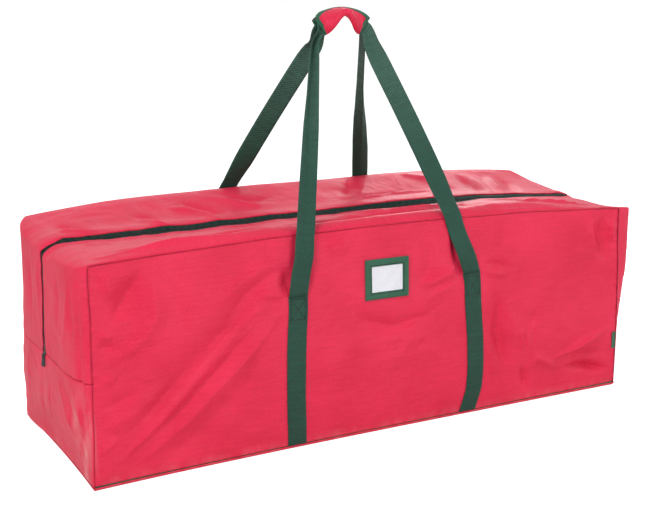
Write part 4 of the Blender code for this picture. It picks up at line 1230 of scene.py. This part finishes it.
def wrap_binding(prefix, sign, ends, blend):
    """Tape round the edge and both ends of one side of the wrap."""
    middle, half = sign * (WRAP_INNER + PAD_THICKNESS / 2), PAD_THICKNESS / 2 + 0.0006
    share = np.linspace(*ends, 60)
    _, _, width, out = grip_frame(share)
    edge = on_grip(share, pad_half(share), middle)
    strips = {"edge": binding_grid(edge, -width, out * sign, half)}
    across = np.linspace(-1, 1, 24)
    for (end, end_name), at in zip(END_NAMES.items(), ends):
        _, ahead, _, out = (np.repeat(v[None], 24, 0) for v in grip_frame(at))
        route = on_grip(at, across * (pad_half(at) + 0.0008), middle)
        strips[end_name] = binding_grid(route, ahead * -end, out * sign, half + 0.0004)
    for part, points in strips.items():
        lengths = own_lengths(points)
        lengths[..., 0] -= BINDING_WIDTH
        obj = sheet(f"{prefix}_tape_{part}", points, None, 0.0007, lengths)
        settle(obj, "back_handle", "green_binding", [f"{prefix}_binding_{part}"], blend)


def wrap_side(name, sign, ends, blend, node, prefix, strip):
    """One side of the wrap, pad or flap, with its strip of hook or loop and its binding."""
    points = pad_grid(*ends, sign * WRAP_OUTER, 0.0012)
    obj = sheet(f"grip_{name}_cloth", points, (0, -sign, sign), PAD_THICKNESS)
    settle(obj, "back_handle", "red_cloth", [node], blend)
    share = np.linspace(-0.86, 0.86, 40)[:, None]
    points = on_grip(share, np.linspace(0.0078, 0.0148, 6)[None, :], sign * (WRAP_INNER - 0.0010))
    obj = sheet(f"{strip}_strip_tape", points, (0, sign, -sign), -0.0008)
    settle(obj, "back_handle", "green_binding", [f"{strip}_strip"], blend)
    wrap_binding(prefix, sign, ends, blend)


def grip_wrap():
    """The wrap: pad below, flap above and the fold that joins them in front."""
    wrap_side("pad", -1, (-1.07, 1.04), None, "grip_pad", "grip_pad", "loop")
    flap_bend = ("wrap_flap", FLAP_FIXED, FLAP_FREE)
    wrap_side("flap", 1, (-1.0, 1.0), flap_bend, "wrap_flap_pad", "wrap_flap", "hook")
    share = np.linspace(-1, 1, 50)[:, None]
    turn = np.linspace(-math.pi / 2, math.pi / 2, 12)[None, :]
    points = on_grip(share, -pad_half(share) - 0.6 * WRAP_OUTER * np.cos(turn), WRAP_OUTER * np.sin(turn))
    obj = sheet("grip_fold_cloth", points, (0, -1, -1), 0.0012)
    settle(obj, "back_handle", "red_cloth", ["grip_fold"])


# Card pocket and small pieces

LABEL_X = -0.0019
LABEL_Z = 0.3095
LABEL_LEAN = 0.068
LABEL_HALF = (0.047, 0.038)
LABEL_BORDER = 0.0138


def label_plane():
    """The flat that the card pocket gives the face: its level, and slopes along which the
    card can slide as the frame has it."""
    card = frame["nodes"]["label_card"]
    x, y, z = np.array([card.matrix_world @ vertex.co for vertex in card.data.vertices]).T
    slide = np.linalg.lstsq(np.stack([np.ones_like(x), x, z], 1), y, rcond=None)[0][2]
    v = np.linspace(-1, 1, 9)[:, None] * LABEL_HALF[1]
    u = np.linspace(-1, 1, 9)[None, :] * LABEL_HALF[0]
    x, z = LABEL_X + u + v * LABEL_LEAN, LABEL_Z + v + 0 * u
    x, y, z = warp(x, -HALF_DEPTH - face_stand(x, z, FRONT), z).reshape(-1, 3).T
    fit = np.stack([np.ones_like(x), x - LABEL_X], 1)
    level, slope_x = np.linalg.lstsq(fit, y - slide * (z - LABEL_Z), rcond=None)[0]
    return level, slope_x, slide


LABEL_PLANE = label_plane()


def on_label(u, v, h):
    """A place on the pocket's plane, a height above the face."""
    return long_face(LABEL_X + u + v * LABEL_LEAN, LABEL_Z + v, FRONT, 0.0010 + h)


def slab(name, half, low, high, body, slot, nodes):
    """A thin rectangular sheet with rounded rim, laid on the label's plane."""
    u = np.linspace(-half[0], half[0], 14)[None, :]
    v = np.linspace(-half[1], half[1], 12)[:, None]
    rim = np.minimum(half[0] - np.abs(u), half[1] - np.abs(v))
    top = on_label(u + 0 * v, v + 0 * u, high - 0.00004 * np.clip(1 - rim / 0.002, 0, 1))
    settle(sheet(name, top, (0, -1, 0), high - low, pairs(u, v)), body, slot, nodes)


# Across the pocket's binding: distance in from its outer edge, and height over the face
FRAME_SECTION = [
    (0.0, -0.0004), (0.0002, 0.0012), (0.0012, 0.0024), (0.0040, 0.0030), (0.0075, 0.0031),
    (0.0110, 0.0029), (0.0128, 0.0024), (0.0138, 0.0014),
]
# The open side stands clear of the card, which slides out under it
FRAME_OPEN_SIDE = 2
FRAME_CLEARANCE = 0.0022


def frame_side(turn):
    """One side of the pocket's binding, mitred at both ends."""
    wide, tall = LABEL_HALF
    along_x = turn % 2 == 0
    sign = -1 if turn < 2 else 1
    length, other = (wide, tall) if along_x else (tall, wide)
    t = np.linspace(-1, 1, 26)[:, None]
    inset, height = np.array(FRAME_SECTION).T[:, None, :]
    if turn == FRAME_OPEN_SIDE:
        height = np.maximum(height, FRAME_CLEARANCE)
    run = t * (length - inset)
    place = sign * (other - inset) + 0 * t
    u, v = (run, place) if along_x else (place, run)
    mitre = 0.0005 * np.clip(1 - (1 - np.abs(t)) / 0.03, 0, 1)
    points = on_label(u, v, height - mitre)
    return grid_object(f"frame_part_{turn}", points, pairs(inset - 0.007, run), (0, -1, 0))


def label_pocket():
    open_x, open_y = (half - LABEL_BORDER for half in LABEL_HALF)
    outer = (open_x + 0.0045, open_y + 0.0045)
    inner = (open_x + 0.0022, open_y + 0.0022)
    slab("label_backing_cloth", outer, 0.0, 0.0004, "root", "red_cloth", ["label_backing", "label_welt"])
    slab("label_card_sheet", inner, 0.0006, 0.0010, "card_insert", "label_card", ["label_card"])
    slab("label_film_sheet", outer, 0.0014, 0.0017, "root", "label_film", ["label_window"])
    frame_obj = join([frame_side(turn) for turn in range(4)], "label_frame_tape")
    settle(frame_obj, "root", "green_binding", ["label_frame"])
    stitches = stitch_mesh(
        "label_stitches", [rectangle(*inner)], lambda u, v, h: on_label(u, v, 0.0029 + h)
    )
    settle(stitches, "root", "green_thread")


def join(objects, name):
    """One object from several meshes."""
    bm = bmesh.new()
    for obj in objects:
        bm.from_mesh(obj.data)
    mesh = bpy.data.meshes.new(name)
    bm.to_mesh(mesh)
    bm.free()
    for obj in objects:
        bpy.data.objects.remove(obj, do_unlink=True)
    mesh.shade_smooth()
    return placed(name, mesh)


def side_tag():
    """A folded loop of tape caught in the right front seam."""
    z = np.linspace(0.083, 0.120, 14)[:, None]
    x = HALF_LENGTH - 0.0015 - np.linspace(0, 0.0115, 10)[None, :]
    puff = np.clip(1 - (HALF_LENGTH - 0.011 - x) ** 2 / 1e-5, 0, 1)
    points = long_face(x + 0 * z, z + 0 * x, FRONT, 0.0012 + 0.0012 * puff)
    settle(sheet("side_tag_tape", points, (0, -1, 0), 0.0010), "root", "green_binding", ["side_tag"])


def inner_bindings():
    """Tape sewn over the raw edges inside the bottom seams."""
    long_x, short_y = np.linspace(-0.572, 0.572, 90), np.linspace(-0.195, 0.195, 40)
    routes = {name: (long_x, side * (HALF_DEPTH - 0.0027)) for side, name in SIDE_NAMES.items()}
    routes |= {name: (end * (HALF_LENGTH - 0.0027), short_y) for end, name in END_NAMES.items()}
    for name, (x, y) in routes.items():
        route = warp(x, y, 0.0080)
        obj = ribbon(f"inner_tape_{name}", route, [[0, 0, 1.0]] * len(route), 0.010, 0.0016)
        settle(obj, "root", "green_binding", [f"inner_binding_{name}"])


# Stations down the slider and its pull: height, half width, half thickness
SLIDER_STATIONS = [
    (0.2084, 0.0036, 0.0005), (0.2078, 0.0058, 0.0009), (0.2060, 0.0067, 0.0012), (0.2010, 0.0062, 0.0012),
    (0.1950, 0.0047, 0.0012), (0.1908, 0.0040, 0.0011), (0.1900, 0.0028, 0.0006),
]
PULL_STATIONS = [
    (0.1992, 0.0006, 0.0003), (0.1988, 0.0010, 0.0004), (0.1920, 0.0011, 0.0004), (0.1885, 0.0034, 0.0009),
    (0.1870, 0.0045, 0.0010), (0.1790, 0.0039, 0.0010), (0.1710, 0.0043, 0.0012), (0.1670, 0.0044, 0.0012),
    (0.1650, 0.0036, 0.0010), (0.1642, 0.0020, 0.0005),
]


def cast_piece(name, stations, place, lean, twist):
    """A cast metal piece: flat ovals stacked down it, leaning and turned as it hangs."""
    turn = np.linspace(0, 2 * math.pi, 20, endpoint=False)
    squared = [np.sign(f(turn)) * np.abs(f(turn)) ** 0.6 for f in (np.cos, np.sin)]
    rings = []
    for z, wide, thick in stations:
        along, out = squared[0] * wide, squared[1] * thick
        drop = stations[0][0] - z
        x = place - lean * drop + along * math.sin(twist) + out * math.cos(twist)
        y = 0.35 * lean * drop + along * math.cos(twist) - out * math.sin(twist)
        rings.append(np.stack([x, y, z + 0 * x], -1))
    return tube(name, np.array(rings), np.zeros((len(stations), len(turn), 2)))


def hardware():
    """Slider and pull, and the bail and stops, which keep their CAD shapes."""
    body = cast_piece("slider_casting", SLIDER_STATIONS, -0.5956, 0.0, 0.0)
    settle(body, "zip_slider", "zip_metal", ["slider_body"])
    pull = cast_piece("pull_casting", PULL_STATIONS, -0.5984, 0.08, -0.46)
    settle(pull, "pull_tab", "zip_metal", ["zip_pull"], look="pull_metal")
    for node in ("slider_bail", "left_zip_stop", "right_zip_stop"):
        data = frame["nodes"][node].data
        data.materials.clear()
        data.materials.append(LOOKS["zip_metal"])


# Stage

CAMERA_PLACE = Vector((-1.2414, -2.2897, 0.9292))
CAMERA_TARGET = Vector((-0.0168, 0.0, 0.3127))
CAMERA_FOCAL_PX = 1331.18
IMAGE_WIDTH_PX = 650
SENSOR = 36.0


def aimed(name, data, place, target):
    """A camera or light at a place, turned towards its target."""
    obj = placed(name, data)
    obj.location = place
    obj.rotation_euler = (Vector(target) - Vector(place)).to_track_quat("-Z", "Y").to_euler()
    return obj


def camera():
    data = bpy.data.cameras.new("camera")
    data.sensor_width = SENSOR
    data.lens = CAMERA_FOCAL_PX / IMAGE_WIDTH_PX * SENSOR
    data.clip_end = 30
    bpy.context.scene.camera = aimed("camera", data, CAMERA_PLACE, CAMERA_TARGET)


WORLD_LIGHT = 0.34
FLOOR_GLOW = 0.80
# Each light: its place, what it points at, its size in m and its power in W
LIGHTS = {
    "key": ((-2.2, -1.5, 2.5), (0, 0, 0.25), (1.0, 0.8), 52),
    "top": ((0.2, 0.3, 2.9), (0, 0, 0.2), (2.2, 1.6), 11),
    "front": ((0.9, -3.4, 0.6), (0, 0, 0.35), (1.8, 1.1), 34),
    "left": ((-3.2, -0.1, 1.1), (-0.5, 0, 0.2), (1.4, 1.2), 12),
    "right": ((2.8, -1.2, 1.6), (0, 0, 0.25), (1.4, 1.4), 18),
    "behind": ((0.6, 2.8, 1.8), (0, 0, 0.2), (2.4, 1.4), 6),
    "top_right": ((1.15, 1.30, 0.95), (0.42, 0.05, 0.38), (0.5, 0.4), 5),
}


def area_light(name, place, target, size, power):
    data = bpy.data.lights.new(name, "AREA")
    data.shape = "RECTANGLE"
    data.size, data.size_y = size
    data.energy = power
    aimed(name, data, place, target).visible_camera = False


def world():
    """White to the camera and in reflections, and dimmer as a light."""
    tree = Tree(bpy.data.worlds.new("studio"))
    bpy.context.scene.world = tree.owner
    path = tree.nodes.new("ShaderNodeLightPath")
    seen = tree.plus(path.outputs["Is Camera Ray"], path.outputs["Is Glossy Ray"])
    seen = tree.plus(seen, path.outputs["Is Transmission Ray"], True)
    background = tree.nodes["Background"].inputs
    background["Color"].default_value = (1, 1, 1, 1)
    tree.feed(background["Strength"], tree.scaled(seen, 1.0 - WORLD_LIGHT, WORLD_LIGHT))


def floor_look(tree):
    """Pale grey that glows to the camera alone, so that it shows as the photograph's white."""
    tree.surface(Base_Color=(0.86, 0.86, 0.86), Roughness=0.9, Specular_IOR_Level=0.0)
    glow = tree.nodes.new("ShaderNodeEmission")
    tree.feed(glow.inputs["Strength"], FLOOR_GLOW)
    both = tree.nodes.new("ShaderNodeAddShader")
    only = tree.nodes.new("ShaderNodeMixShader")
    path = tree.nodes.new("ShaderNodeLightPath")
    tree.feed(both.inputs[0], tree.shader.outputs[0])
    tree.feed(both.inputs[1], glow.outputs[0])
    tree.feed(only.inputs[0], path.outputs["Is Camera Ray"])
    tree.feed(only.inputs[1], tree.shader.outputs[0])
    tree.feed(only.inputs[2], both.outputs[0])
    tree.feed(tree.nodes["Material Output"].inputs["Surface"], only.outputs[0])


def stage():
    bpy.context.scene.view_settings.view_transform = "Standard"
    world()
    mesh = bpy.data.meshes.new("floor")
    mesh_edit(mesh, lambda bm: bmesh.ops.create_grid(bm, x_segments=1, y_segments=1, size=12))
    floor = placed("floor", mesh)
    floor.location.z = -0.0004
    mesh.materials.append(make_look("floor", floor_look))
    for name, values in LIGHTS.items():
        area_light(name, *values)


def main():
    camera()
    stage()
    long_panels()
    end_panels()
    bottom_panel()
    gussets()
    zip_quarters()
    sewn_strips()
    box_stitches()
    handles()
    grip_wrap()
    label_pocket()
    side_tag()
    inner_bindings()
    hardware()


main()
